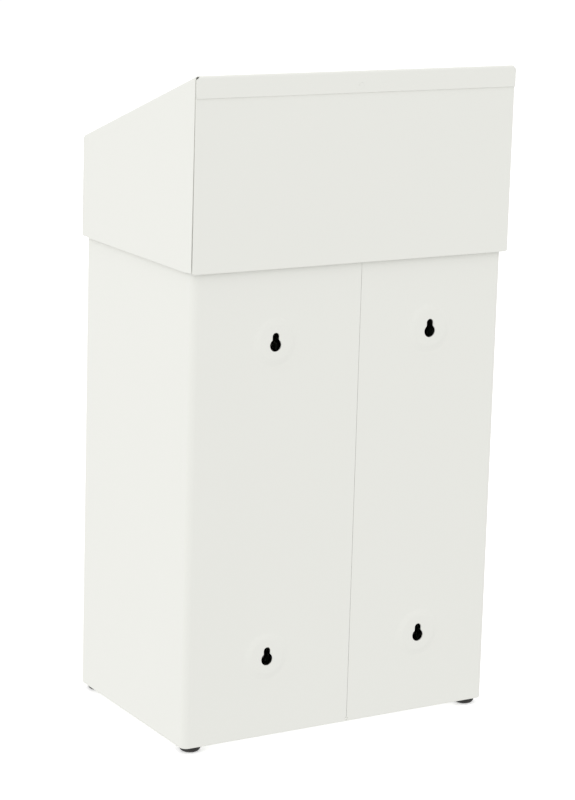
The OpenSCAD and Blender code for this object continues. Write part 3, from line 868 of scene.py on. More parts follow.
@dataclass
class Body(Assembly):
    """The standing body: shell, base, feet and what carries the bag frame. Sizes in millimetres."""

    body: ClassVar[str] = "bin"
    width: float = 380.0
    depth: float = 245.0
    middle_y: float = -1.75
    foot: float = 7.0
    top: float = 541.0
    sheet: float = 1.0
    corner: float = 7.0
    corner_steps: int = 8
    mouth_corner: float = 8.0
    rim: float = 13.0
    lip: float = 11.0
    rim_bend: Bend = Bend(2.0, steps=5)
    straight: float = 60.0
    seam_x: float = -11.6
    seam_gap: float = 0.22
    notch_half: float = 1.5
    notch_form: tuple[Point, ...] = ((0.0, 0.0), (0.0, 2.0), (1.0, 2.6), (1.0, 4.0), (0.0, 4.7))
    keyholes: tuple[Point, ...] = ((-99.0, 93.0), (92.0, 93.0), (-99.0, 434.0), (92.0, 434.0))
    entry: float = 6.75
    entry_steps: int = 40
    slot: float = 4.0
    slot_steps: int = 20
    rise: float = 9.25
    pad: float = 2.0
    pad_up: float = 3.25
    pad_foot: float = 27.0
    pad_flat: float = 18.0
    pad_rings: int = 8
    pad_steps: int = 16
    base_z: float = 9.0
    base_sheet: float = 1.2
    base_corner: float = 7.5
    base_flange: float = 20.0
    base_bend: Bend = Bend(2.4)
    foot_x: float = 174.5
    foot_y: float = 109.0
    screw_hole: float = 2.2
    screw_steps: int = 6

    def build(self) -> None:
        """Makes and dresses the body's pieces."""
        sides = ("left", "right")
        self.wear(self._shell(), Slot.PAINT, "body_shell")
        self.wear(self._base(), Slot.PAINT, "base_pan")
        self.keep(Slot.PAINT, "seam_strip", soften=0.0002)
        self.keep(Slot.RUBBER, *(f"foot_{end}_{side}" for end in ("front", "rear") for side in sides))
        self.keep(Slot.ZINC, "foot_washers", "foot_screws", "foot_nuts", soften=0.00015)
        holders = [f"frame_{kind}_{side}" for kind in ("clip", "rest") for side in sides]
        self.keep(Slot.ZINC, *holders, soften=0.00025)

    @property
    def _core(self) -> Point:
        """Half the straight lengths of the back and of the sides."""
        return self.width / 2 - self.corner, self.depth / 2 - self.corner

    def _starts(self) -> list[float]:
        """Finds where each straight length and each corner starts.

        Returns:
            The distances round the outer face, from the seam.
        """
        x, y = self._core
        turn = self.corner * math.pi / 2
        starts = [0.0]
        for length in (x - self.seam_x - self.seam_gap / 2, turn, 2 * y, turn, 2 * x, turn, 2 * y, turn):
            starts.append(starts[-1] + length)
        return starts

    def _end(self) -> float:
        """The length round the body, from one side of the seam to the other."""
        return self._starts()[-1] + self._core[0] + self.seam_x - self.seam_gap / 2

    def _around(self, u: float, inset: float, radius: float) -> Point:
        """Finds a point of the body's plan.

        Args:
            u: the distance round the outer face, from the seam.
            inset: how far inside the outer face the point is.
            radius: the corners' radius there.

        Returns:
            The point's X and Y.
        """
        starts = self._starts()
        ways = ((0, 1), (1, 0), (0, -1), (-1, 0))
        k = sum(u > start for start in starts[1:])
        panel = (k // 2) % 4
        out = Vector(ways[panel])
        on = Vector(ways[(panel + 1) % 4])
        half_on, half_out = (self.width / 2, self.depth / 2)[:: 1 - 2 * (panel % 2)]
        core = half_on - self.corner
        ends = half_on - inset - radius
        if k % 2:
            angle = (u - starts[k]) / self.corner
            point = out * (half_out - inset - radius) + on * ends
            point += radius * (math.cos(angle) * out + math.sin(angle) * on)
        else:
            t = u + self.seam_x + self.seam_gap / 2 if k == 0 else u - starts[k] - core
            past = max(abs(t) - self.straight, 0.0)
            reach = min(abs(t), self.straight) + past * (ends - self.straight) / (core - self.straight)
            point = out * (half_out - inset) + on * math.copysign(reach, t)
        return point.x, point.y + self.middle_y

    def _pad_height(self, u: float, v: float) -> float:
        """How far a keyhole's pad lifts the back.

        Args:
            u: the distance round the outer face, from the seam.
            v: the height above the shell's lower edge.

        Returns:
            The lift.
        """
        height = 0.0
        for x, z in self.keyholes:
            away = math.hypot(u - self._back_u(x), v + self.foot - z - self.pad_up)
            share = min(max((self.pad_foot - away) / (self.pad_foot - self.pad_flat), 0.0), 1.0)
            height += self.pad * share * share * (3 - 2 * share)
        return height

    def _back_u(self, x: float) -> float:
        """Finds a place on the back on the pattern.

        Args:
            x: the place across the back.

        Returns:
            Its distance round the outer face, from the seam.
        """
        if x > self.seam_x:
            return x - self.seam_x - self.seam_gap / 2
        return self._end() - (self.seam_x - self.seam_gap / 2 - x)

    def _rim_stops(self) -> tuple[list[float], list[float]]:
        """Finds where the wall bends into the rim, and the rim into the lip.

        Returns:
            The heights on the pattern at which each of the two bends is divided.
        """
        wall = self.top - self.foot - self.rim_bend.radius
        flat = self.rim - 2 * self.rim_bend.radius
        first = [wall + stop for stop in self.rim_bend.stops()]
        return first, [first[-1] + flat + stop for stop in self.rim_bend.stops()]

    def _shell_point(self, u: float, v: float, depth: float) -> Vector:
        """Folds the shell: wall, turned-in rim and turned-down lip.

        Args:
            u: the distance round the outer face, from the seam.
            v: the distance up the wall and over the rim.
            depth: the depth below the outer face.

        Returns:
            The point.
        """
        to_rim, to_lip = self._rim_stops()
        bend = self.rim_bend
        if v <= to_rim[0]:
            on_back = u < self._core[0] - self.seam_x or u > self._starts()[-1]
            lift = self._pad_height(u, v) if on_back else 0.0
            x, y = self._around(u, depth - lift, self.corner - depth + lift)
            return Vector((x, y, self.foot + v))
        up, inwards = bend.walk(v - to_rim[0], depth)
        face_in = bend.walk(v - to_rim[0], 0.0)[1]
        if v > to_lip[0]:
            forward, down = bend.walk(v - to_lip[0], depth)
            inwards = self.rim - bend.radius + forward
            face_in = self.rim - bend.radius + bend.walk(v - to_lip[0], 0.0)[0]
            up = bend.radius - down
        elif v > to_rim[-1]:
            up = bend.radius - depth
            inwards = face_in = bend.radius + v - to_rim[-1]
        grown = self.corner + (self.mouth_corner - self.corner) * face_in / self.rim
        x, y = self._around(u, inwards, grown - (inwards - face_in))
        return Vector((x, y, self.foot + to_rim[0] + up))

    def _keyhole(self, x: float, z: float) -> Loop:
        """The outline of a keyhole: a round entry with a slot above it.

        Args:
            x: the entry's middle across the back.
            z: the entry's middle above the floor.

        Returns:
            The points on the pattern.
        """
        u, v = self._back_u(x), z - self.foot
        meet = math.acos(self.slot / self.entry)
        entry = arc((u, v), self.entry, meet, -math.pi - meet, self.entry_steps)
        return entry + arc((u, v + self.rise), self.slot, math.pi, 0.0, self.slot_steps)

    def _shell(self) -> bpy.types.Object:
        """Makes the shell out of its flat pattern.

        Returns:
            The piece.
        """
        end = self._end()
        starts = self._starts()
        to_rim, to_lip = self._rim_stops()
        high = to_lip[-1] + self.lip - self.rim_bend.radius
        notch = [(wide * self.notch_half, up) for wide, up in self.notch_form]
        pattern = FlatPattern(self._shell_point, self.sheet)
        pattern.cut(notch + [(0, high), (end, high)] + [(end - u, v) for u, v in reversed(notch)])
        for x, z in self.keyholes:
            pattern.cut(self._keyhole(x, z))
        for low, past in zip(starts[1::2], starts[2::2]):
            for i in range(self.corner_steps + 1):
                pattern.fold(Way.ALONG_V, low + (past - low) * i / self.corner_steps, 0, high)
        sides = [(low + past) / 2 for low, past in zip(starts[2::2], starts[3::2])]
        for middle in [-self.seam_x - self.seam_gap / 2] + sides:
            for side in SIDES:
                pattern.fold(Way.ALONG_V, middle + side * self.straight, to_rim[0], high)
        pattern.fold(Way.ALONG_V, self._back_u(-self.straight), to_rim[0], high)
        for at in to_rim + to_lip:
            pattern.fold(Way.ALONG_U, at, 0, end)
        for x, z in self.keyholes:
            pad = RoundedBox(self._back_u(x), z + self.pad_up - self.foot)
            for i in range(self.pad_rings + 1):
                out = self.pad_flat + (self.pad_foot - self.pad_flat) * i / self.pad_rings
                pattern.line(pad.ring(out, self.pad_steps), closed=True)
        return pattern.build("folded_shell")

    def _base_point(self, u: float, v: float, depth: float) -> Vector:
        """Folds the base's flange up.

        Args:
            u: the place across the base.
            v: the place along it.
            depth: the depth above its underside, or inside its flange.

        Returns:
            The point.
        """
        floor = self._base_floor
        near, way, out = floor.polar(u, v)
        if out <= 0:
            return Vector((u, v, self.base_z + depth))
        forward, up = self.base_bend.walk(out, depth)
        reach = floor.radius + forward
        return Vector((near[0] + way[0] * reach, near[1] + way[1] * reach, self.base_z + up))

    @property
    def _base_floor(self) -> RoundedBox:
        """Finds the flat floor of the base, inside its bend.

        Returns:
            The floor.
        """
        inset = self.sheet + self.base_bend.radius
        corner = self.base_corner - self.base_bend.radius
        return RoundedBox(0.0, self.middle_y, self.width / 2 - inset, self.depth / 2 - inset, corner)

    def _base(self) -> bpy.types.Object:
        """Makes the base out of its flat pattern.

        Returns:
            The piece.
        """
        bend = self.base_bend
        pattern = FlatPattern(self._base_point, self.base_sheet)
        rim = self._base_floor.ring(bend.length + self.base_flange - bend.radius, self.corner_steps)
        pattern.cut(rim)
        for x in (-self.foot_x, self.foot_x):
            for y in (-self.foot_y, self.foot_y):
                pattern.cut_hole(x, self.middle_y + y, self.screw_hole, self.screw_steps)
        rings = [self._base_floor.ring(stop, self.corner_steps) for stop in bend.stops()]
        pattern.bend_round(rings, rim)
        return pattern.build("folded_base")


@dataclass
class BagFrame(Assembly):
    """The wire frame that a bag is folded over."""

    body: ClassVar[str] = "bag_frame"

    def build(self) -> None:
        """Dresses the wire."""
        self.keep(Slot.ZINC, "bag_frame")


@dataclass
class Hood(Assembly):
    """The lift-off hood with what its flap hangs on. Sizes in millimetres."""

    body: ClassVar[str] = "hood"
    width: float = 388.0
    front_y: float = -126.75
    back_y: float = 126.75
    low: float = 515.0
    front_z: float = 626.0
    slope: float = math.radians(20.0)
    sheet: float = 1.0
    bend: Bend = Bend(2.5)
    front_bend: Bend = Bend(2.5, 70.0)
    back_bend: Bend = Bend(2.5, 110.0, 8)
    hem_bend: Bend = Bend(1.05, 180.0, 8)
    hem: float = 8.0
    hem_in: float = 191.75
    hem_front: float = -112.25
    hem_back: float = 111.25
    fold: Bend = Bend(1.1, steps=5)
    fold_x: float = 192.9
    joint_front: float = 0.45
    joint: float = 1.25
    joint_foot: float = 1.7
    returns: float = 14.0
    set_in_front: tuple[Point, ...] = ((0.0, 0.0), (0.4, 1.05), (6.0, 1.05))
    set_in: tuple[Point, ...] = ((-0.4, 0.0), (0.1, 3.5), (3.2, 3.5), (6.0, 1.05))
    strip: float = 24.0
    strip_x: float = 193.85
    relief_drop: float = 0.9
    relief_cut: float = 0.9
    panel_relief: tuple[Point, ...] = ((0.0, 1.26), (-2.5, 0.9), (-2.5, 0.0))
    return_relief: float = 1.8
    slit: float = 0.4
    rivet_z: float = 701.77
    rivet_head: float = 3.0
    rivet_head_steps: int = 8
    rivet_hole: float = 1.6
    rivet_hole_steps: int = 6
    throat: RoundedBox = RoundedBox(0.0, 130.885, 150.0, 84.885, 10.0)
    throat_bend: Bend = Bend(2.0)
    throat_lip: float = 8.0
    throat_steps: int = 12

    def build(self) -> None:
        """Makes and dresses the hood's pieces."""
        self.wear(self._cover(), Slot.PAINT, "hood_cover")
        self.wear(self._rear_panel(), Slot.PAINT, "hood_rear_panel")
        self.keep(Slot.PAINT, "flange_rivet")
        holders = [f"{kind}_{side}" for kind in ("ledge", "hinge_bracket") for side in ("left", "right")]
        self.keep(Slot.PAINT, *holders, soften=0.00025)
        self.keep(Slot.RUBBER, "hood_buffers")
        self.keep(Slot.ZINC, "hinge_rod", "rod_caps", soften=0.0002)

    def _top_z(self, y: float) -> float:
        """The height of the sloping top's face."""
        return self.front_z + (y - self.front_y) * math.tan(self.slope)

    def on_slope(self, x: float, s: float, n: float) -> Vector:
        """The point at a place across, a distance up the slope and a height out of the top's face."""
        across, up = math.cos(self.slope), math.sin(self.slope)
        return Vector((x, self.front_y + s * across - n * up, self.front_z + s * up + n * across))

    @property
    def _side_u(self) -> float:
        """Where the folds at the sides start on the pattern."""
        return self.width / 2 - self.bend.radius

    @property
    def _side_drop(self) -> float:
        """How far below the top's face the folds at the sides end."""
        return self.bend.radius / math.cos(self.slope)

    @property
    def _hem_z(self) -> float:
        """The height at which the hems start to turn."""
        return self.low + self.hem_bend.radius

    @property
    def _return_end(self) -> float:
        """Where the returns behind the sides end across the pattern."""
        return self.fold_x + self.fold.length + self.returns - self.fold.radius

    def _fold_middle(self, front: bool) -> Vector:
        """Finds the middle of the fold at the front or the back of the top.

        Args:
            front: whether it is the front's.

        Returns:
            Its Y and Z.
        """
        r = self.bend.radius
        y = self.front_y + r if front else self.back_y - r
        return Vector((y, self._top_z(y) - self._side_drop))

    def _fold_v(self, front: bool) -> float:
        """Where the fold at the front or the back starts on the pattern."""
        y, z = self._fold_middle(front)
        return (y - self.front_y) * math.cos(self.slope) + (z - self.front_z) * math.sin(self.slope)

    def _front_v(self, z: float) -> float:
        """Where a height on the front lies on the pattern."""
        return self._fold_v(True) - self.front_bend.length - (self._fold_middle(True)[1] - z)

    def _back_v(self, z: float) -> float:
        """Where a height on the back strip lies on the pattern."""
        return self._fold_v(False) + self.back_bend.length + (self._fold_middle(False)[1] - z)

    def _side_limits(self) -> Point:
        """Where the sides start and end along the pattern."""
        return self._fold_v(True) + self.slit, self._fold_v(False) - self.slit

    def _side_ends(self) -> Point:
        """The upright edges of a side, which stop short of the folds at the corners."""
        first = self.front_y + self.fold.radius + self.joint_front
        return first, self.back_y - self.sheet - self.fold.radius - self.joint

    def _side_y(self, v: float, share: float) -> float:
        """Where a place along the pattern comes on a side.

        Args:
            v: the place along the pattern.
            share: how far round the fold it is, from 0 to 1.

        Returns:
            Its Y.
        """
        first, last = self._side_limits()
        ends = self._side_ends()
        above = self.front_y + v * math.cos(self.slope)
        below = ends[0] + (ends[1] - ends[0]) * (v - first) / (last - first)
        return above + (below - above) * share

    def _side_v(self, y: float) -> float:
        """Finds a place on a side, below its fold, on the pattern.

        Args:
            y: the place.

        Returns:
            Where it lies along the pattern.
        """
        first, last = self._side_limits()
        ends = self._side_ends()
        return first + (last - first) * (y - ends[0]) / (ends[1] - ends[0])

    def _side_hem_u(self, v: float) -> float:
        """Where a side's hem starts across the pattern."""
        drop = self._top_z(self._side_y(v, 1.0)) - self._side_drop - self._hem_z
        return self._side_u + self.bend.length + drop

    def _cover_point(self, u: float, v: float, depth: float) -> Vector:
        """Folds the hood's cover.

        Args:
            u: the place across the pattern.
            v: the place along it, up the slope.
            depth: the depth below the outer face.

        Returns:
            The point.
        """
        if v < self._fold_v(True):
            return self._front_point(u, v, depth)
        run = v - self._fold_v(False)
        if run > 0:
            bend = self.back_bend
            below = max(run - bend.length, 0.0)
            return self._top_fold(u, False, -min(run, bend.length) / bend.radius, depth, below)
        if abs(u) > self._side_u:
            x, y, z = self._side_point(abs(u) - self._side_u, v, depth)
            return Vector((math.copysign(x, u), y, z))
        near, way, out = self.throat.polar(u, v)
        run = self.throat_bend.radius - out
        if run <= 0:
            return self.on_slope(u, v, -depth)
        forward, down = self.throat_bend.walk(run, depth)
        reach = self.throat.radius + self.throat_bend.radius - forward
        return self.on_slope(near[0] + way[0] * reach, near[1] + way[1] * reach, -down)

    def _top_fold(self, u: float, front: bool, turn: float, depth: float, below: float = 0.0) -> Vector:
        """Finds a point in the fold at the front or the back of the top.

        Args:
            u: the place across the pattern.
            front: whether the fold is the front's.
            turn: how far round it the point is, negative at the back.
            depth: the depth below the outer face.
            below: how far below the fold it is.

        Returns:
            The point.
        """
        middle_y, middle_z = self._fold_middle(front)
        turned = self.slope + turn
        reach = self.bend.radius - depth
        return Vector((u, middle_y - reach * math.sin(turned), middle_z + reach * math.cos(turned) - below))

    def _front_point(self, u: float, v: float, depth: float) -> Vector:
        """Folds the front, its hem and the returns behind the sides.

        Args:
            u: the place across the pattern.
            v: the place along it.
            depth: the depth below the outer face.

        Returns:
            The point.
        """
        run = self._fold_v(True) - v
        if run < self.front_bend.length:
            return self._top_fold(u, True, run / self.bend.radius, depth)
        z = self._fold_middle(True)[1] - (run - self.front_bend.length)
        x, behind, z = self._panel_point(u, z, depth, self.set_in_front)
        return Vector((x, self.front_y + behind, z))

    def _panel_point(self, u: float, z: float, depth: float, set_in: tuple[Point, ...]) -> Triple:
        """Folds an upright panel with returns at both ends and a hem below.

        Args:
            u: the place across the pattern.
            z: the height, which goes on round the hem.
            depth: the depth below the outer face.
            set_in: how far the returns are set in, at distances from their fold.

        Returns:
            X, the distance behind the panel's face, and Z.
        """
        if abs(u) > self.fold_x:
            run = abs(u) - self.fold_x
            forward, behind = self.fold.walk(run, depth)
            inset = self._inset(run - self.fold.length, set_in)
            return math.copysign(self.fold_x + forward - inset, u), behind, z
        if z >= self._hem_z:
            return u, depth, z
        down, behind = self.hem_bend.walk(self._hem_z - z, depth)
        return u, behind, self._hem_z - down

    @staticmethod
    def _inset(run: float, set_in: tuple[Point, ...]) -> float:
        """How far a return is set in behind a side.

        Args:
            run: the distance along the return from its fold.
            set_in: the insets at some such distances.

        Returns:
            The inset there.
        """
        for (start, low), (end, high) in zip(set_in, set_in[1:]):
            if run < end:
                return low + (high - low) * max(run - start, 0.0) / (end - start)
        return set_in[-1][1]

    def _return_creases(self, set_in: tuple[Point, ...]) -> list[float]:
        """The places across the pattern where a fold and its return, set in so far, change form."""
        bent = self.fold_x + self.fold.length
        return [self.fold_x + stop for stop in self.fold.stops()] + [bent + run for run, _ in set_in]

    @staticmethod
    def _relief(inner: float, outer: float, stops: list[float]) -> Loop:
        """The rounded end of a fold at a corner, from inner to outer over the stops along the pattern."""
        shares = [i / (len(stops) - 1) for i in range(len(stops))]
        return [(inner + (outer - inner) * (1 - math.sqrt(1 - f * f)), v) for f, v in zip(shares, stops)]

    def _side_point(self, run: float, v: float, depth: float) -> Triple:
        """Folds a side and its hem.

        Args:
            run: the distance from the start of the fold.
            v: the place along the pattern.
            depth: the depth below the outer face.

        Returns:
            X, Y and Z on the right side.
        """
        share = min(run / self.bend.length, 1.0)
        y = self._side_y(v, share)
        if share < 1.0:
            forward, down = self.bend.walk(run, depth)
            face = self.bend.walk(run, 0.0)[1]
            s = (y - self.front_y - face * math.sin(self.slope)) / math.cos(self.slope)
            return tuple(self.on_slope(self._side_u + forward, s, -down))
        z = self._top_z(y) - self._side_drop - (run - self.bend.length)
        if z >= self._hem_z:
            return self.width / 2 - depth, y, z
        down, inwards = self.hem_bend.walk(self._hem_z - z, depth)
        return self.width / 2 - inwards, y, self._hem_z - down

    def _cover_outline(self) -> Loop:
        """Draws the right half of the cover's outline.

        Returns:
            The points, from the front's hem round to the strip.
        """
        leaf = self.hem_bend.length + self.hem - self.hem_bend.radius
        hem_v = self._front_v(self._hem_z)
        front, back = self._fold_v(True), self._fold_v(False)
        return_top = self._front_v(self.front_z - self.bend.radius)
        first, last = self._side_limits()
        side = self._side_u
        points = [
            (self.hem_in, hem_v - leaf),
            (self.hem_in, hem_v),
            (self._return_end, hem_v),
            (self._return_end, return_top),
            (self.fold_x, return_top),
        ]
        front_stops = [front - stop for stop in self.front_bend.stops()]
        points += reversed(self._relief(side, self.fold_x, front_stops))
        points += [(side, first), (self._side_hem_u(first), first)]
        start, end = self._side_v(self.hem_front), self._side_v(self.hem_back)
        steps = self.hem_bend.stops() + [leaf]
        points += [(self._side_hem_u(start) + step, start) for step in steps]
        points += [(self._side_hem_u(end) + step, end) for step in reversed(steps)]
        foot = last - (self.joint_foot - self.joint)
        points += [(self._side_hem_u(foot), foot), (side + self.bend.length, last), (side, last)]
        back_stops = self.back_bend.stops() + [self.back_bend.length + self.relief_drop]
        points += self._relief(side - self.relief_cut, self.strip_x, [back + stop for stop in back_stops])
        points.append((self.strip_x, self._back_v(self._top_z(self.back_y) - self.strip)))
        return points

    def _cover(self) -> bpy.types.Object:
        """Makes the cover out of its flat pattern.

        Returns:
            The piece.
        """
        pattern = FlatPattern(self._cover_point, self.sheet)
        pattern.cut_both(self._cover_outline())
        outer = self.throat_bend.radius
        lip = self.throat_bend.length + self.throat_lip - outer
        opening = self.throat.ring(outer - lip, self.throat_steps)
        pattern.cut(opening)
        pattern.cut_hole(0.0, self._back_v(self.rivet_z), self.rivet_head, self.rivet_head_steps)
        rings = [self.throat.ring(outer - stop, self.throat_steps) for stop in self.throat_bend.stops()]
        pattern.bend_round(rings, opening)
        for stop in self.front_bend.stops():
            pattern.fold(Way.ALONG_U, self._fold_v(True) - stop, -self.fold_x, self.fold_x)
        for stop in self.back_bend.stops():
            pattern.fold(Way.ALONG_U, self._fold_v(False) + stop, -self.strip_x, self.strip_x)
        for stop in self.hem_bend.stops():
            pattern.fold(Way.ALONG_U, self._front_v(self._hem_z - stop), -self.hem_in, self.hem_in)
        return_ends = (self._front_v(self._hem_z), self._front_v(self.front_z - self.bend.radius))
        hem_ends = (self._side_v(self.hem_front), self._side_v(self.hem_back))
        for side in SIDES:
            for stop in self.bend.stops():
                pattern.fold(Way.ALONG_V, side * (self._side_u + stop), *self._side_limits())
            for u in self._return_creases(self.set_in_front):
                pattern.fold(Way.ALONG_V, side * u, *return_ends)
            for stop in self.hem_bend.stops():
                pattern.line([(side * (self._side_hem_u(v) + stop), v) for v in hem_ends])
        return pattern.build("folded_cover")

    def _rear_point(self, u: float, v: float, depth: float) -> Vector:
        """Folds the rear panel, whose face is behind the strip. Its v is the height."""
        x, behind, z = self._panel_point(u, v, depth, self.set_in)
        return Vector((x, self.back_y - self.sheet - behind, z))

    def _rear_panel(self) -> bpy.types.Object:
        """Makes the rear panel out of its flat pattern.

        Returns:
            The piece.
        """
        leaf = self._hem_z - self.hem_bend.length - self.hem + self.hem_bend.radius
        top = self._fold_middle(False)[1]
        right = [
            (self.hem_in, leaf),
            (self.hem_in, self._hem_z),
            (self._return_end, self._hem_z),
            (self._return_end, top - self.returns * math.tan(self.slope)),
            (self.fold_x + self.fold.length, top - self.return_relief),
        ]
        right += [(self.fold_x + out, top - down) for out, down in self.panel_relief]
        pattern = FlatPattern(self._rear_point, self.sheet)
        pattern.cut_both(right)
        pattern.cut_hole(0.0, self.rivet_z, self.rivet_hole, self.rivet_hole_steps)
        for stop in self.hem_bend.stops():
            pattern.fold(Way.ALONG_U, self._hem_z - stop, -self.hem_in, self.hem_in)
        for side in SIDES:
            for u in self._return_creases(self.set_in):
                pattern.fold(Way.ALONG_V, side * u, self._hem_z, top)
        return pattern.build("folded_rear_panel")


@dataclass
class Flap(Assembly):
    """The sprung flap with its bushes, stops and springs. Sizes in millimetres."""

    hood: Hood
    body: ClassVar[str] = "flap"
    half: float = 162.0
    top: float = -8.5
    sheet: float = 1.0
    bend: Bend = Bend(2.0, steps=5)
    front: float = 34.0
    rear: float = 217.77
    edge: float = 15.0
    edge_over: float = 0.8
    edge_parting: float = 1.0
    front_relief: tuple[Point, ...] = ((0.8, -0.5), (0.2, 0.3), (0.4, 0.6))
    ear_relief: tuple[Point, ...] = ((0.0, 0.6), (0.5, -1.4))
    rear_relief: tuple[Point, ...] = ((-0.4, 0.7), (0.0, 0.35), (-0.4, 0.0))
    rear_parting: float = 0.2
    ear_fold: Point = (0.3, 0.1)
    rod_s: float = 228.77
    rod_n: float = -17.0
    boss: float = 8.0
    boss_steps: int = 16
    bore: float = 4.5
    bore_steps: int = 8
    heel: float = 12.5
    heel_half: float = 3.0
    heel_up: float = math.radians(25.0)
    heel_steps: int = 12
    crown_steps: int = 6
    stop_in: float = 6.0
    stop_hole: float = 2.0
    stop_steps: int = 6
    wire: float = 1.8
    wire_sides: int = 12
    wire_bend: float = 2.7
    wire_bend_steps: int = 8
    spring_x: float = 158.1
    spring_end: float = 137.625
    spring_n: float = -10.7
    turns: float = 9.75
    turn_steps: int = 24
    leg: float = 40.0
    leg_steps: int = 6
    foot: float = 10.0

    def build(self) -> None:
        """Makes and dresses the flap's pieces."""
        self.wear(self._panel(), Slot.PAINT, "flap")
        self.keep(Slot.NYLON, "flap_bush_left", "flap_bush_right", soften=0.0002)
        self.keep(Slot.RUBBER, "flap_stops")
        for side, name in zip(SIDES, ("left", "right")):
            self._spring(side, name)

    @property
    def _side_u(self) -> float:
        """Where the folds at the ears start on the pattern."""
        return self.half - self.bend.radius

    @property
    def _edge_v(self) -> float:
        """Where the fold at the front edge starts on the pattern."""
        return self.front + self.bend.radius

    def _ear_u(self, n: float) -> float:
        """Where a height on an ear lies across the pattern."""
        return self._side_u + self.bend.length + self.top - self.bend.radius - n

    def _place(self, u: float, v: float, depth: float) -> Vector:
        """Folds the flap.

        Args:
            u: the place across the pattern.
            v: the place along it, up the slope.
            depth: the depth below the outer face.

        Returns:
            The point.
        """
        side = math.copysign(1.0, u)
        run = abs(u) - self._side_u
        if v < self._edge_v and run < self.bend.length - self.edge_parting:
            forward, down = self.bend.walk(self._edge_v - v, depth)
            return self.hood.on_slope(u, self._edge_v - forward, self.top - down)
        if v > self.rear + self.rear_parting and run > 0:
            n = self.top - self.bend.radius - (run - self.bend.length)
            return self.hood.on_slope(side * (self.half - depth), v, n)
        if run > 0:
            forward, down = self.bend.walk(run, depth)
            return self.hood.on_slope(side * (self._side_u + forward), v, self.top - down)
        return self.hood.on_slope(u, v, self.top - depth)

    def _outline(self) -> Loop:
        """Draws the right half of the flap's outline.

        Returns:
            The points, from the front edge round the ear to the rear.
        """
        side = self._side_u
        bent = side + self.bend.length
        edge_v = self._edge_v
        low_v = edge_v - self.bend.length - (self.edge - self.bend.radius)
        ear_low = self._ear_u(self.top - self.edge)
        ear_top = self._ear_u(self.top)
        points = [(side + self.edge_over, low_v)]
        points += [(side + out, edge_v + up) for out, up in self.front_relief]
        points += [(bent + out, edge_v + up) for out, up in self.ear_relief]
        points.append((ear_low, edge_v + self.ear_relief[-1][1]))
        hub = (self._ear_u(self.rod_n), self.rod_s)
        first = -math.acos((ear_low - hub[0]) / self.boss)
        spread = math.asin(self.heel_half / self.boss)
        heel = math.pi / 2 + self.heel_up
        tip = (hub[0] + self.heel * math.cos(heel), hub[1] + self.heel * math.sin(heel))
        points += arc(hub, self.boss, first, heel - spread, self.boss_steps)
        points += arc(tip, self.heel_half, heel - math.pi / 2, heel + math.pi / 2, self.heel_steps)
        points += arc(hub, self.boss, heel + spread, math.pi, self.crown_steps)
        points += [(ear_top, self.rod_s), (ear_top, self.rear + self.rear_relief[0][1])]
        return points + [(bent + out, self.rear + up) for out, up in self.rear_relief]

    def _panel(self) -> bpy.types.Object:
        """Makes the flap out of its flat pattern.

        Returns:
            The piece.
        """
        pattern = FlatPattern(self._place, self.sheet)
        pattern.cut_both(self._outline())
        for side in SIDES:
            pattern.cut_hole(side * self._ear_u(self.rod_n), self.rod_s, self.bore, self.bore_steps)
            stop_u = side * (self.half - self.stop_in)
            pattern.cut_hole(stop_u, self.front + self.stop_in, self.stop_hole, self.stop_steps)
        edge_end = self._side_u + self.edge_over
        past, short = self.ear_fold
        for stop in self.bend.stops():
            pattern.fold(Way.ALONG_U, self._edge_v - stop, -edge_end, edge_end)
            for side in SIDES:
                at = side * (self._side_u + stop)
                pattern.fold(Way.ALONG_V, at, self._edge_v + past, self.rear + short)
        return pattern.build("folded_flap")

    def _spring_path(self, side: int) -> list[Vector]:
        """The middle line of a spring: leg under the flap, coil round the rod, foot under the top.

        Args:
            side: -1 for the left spring, 1 for the right.

        Returns:
            The points.
        """
        bend = self.wire_bend
        foot_n = -self.hood.sheet - self.wire / 2
        radius = self.spring_n - self.rod_n
        corner = (self.rod_s - radius + bend, foot_n - bend)
        start = self.rod_s - self.leg
        line = [
            (self.spring_x, start + self.leg / 2 * i / self.leg_steps, self.spring_n)
            for i in range(self.leg_steps + 1)
        ]
        steps = round(self.turn_steps * self.turns)
        rod = (self.rod_s, self.rod_n)
        coil = arc(rod, radius, math.pi / 2, math.pi / 2 - 2 * math.pi * self.turns, steps)
        for i, (s, n) in enumerate(coil):
            line.append((self.spring_x + (self.spring_end - self.spring_x) * i / steps, s, n))
        for s, n in arc(corner, bend, math.pi, math.pi / 2, self.wire_bend_steps):
            line.append((self.spring_end, s, n))
        line.append((self.spring_end, corner[0] + self.foot, foot_n))
        return [self.hood.on_slope(side * x, s, n) for x, s, n in line]

    def _spring(self, side: int, name: str) -> None:
        """Makes a spring, which sits between the hood and the flap.

        Args:
            side: -1 for the left spring, 1 for the right.
            name: its side's name.
        """
        path = self._spring_path(side)
        piece = round_wire(f"wound_spring_{name}", path, self.wire / 2, self.wire_sides)
        hinge = self.hood.on_slope(0.0, self.rod_s, self.rod_n)
        still, moved = (
            tuple(Vector((side * x, hinge.y, hinge.z)) * MM) for x in (self.spring_end, self.spring_x)
        )
        self.dress(piece, Slot.SPRING_STEEL, f"spring_{name}")
        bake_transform(piece)


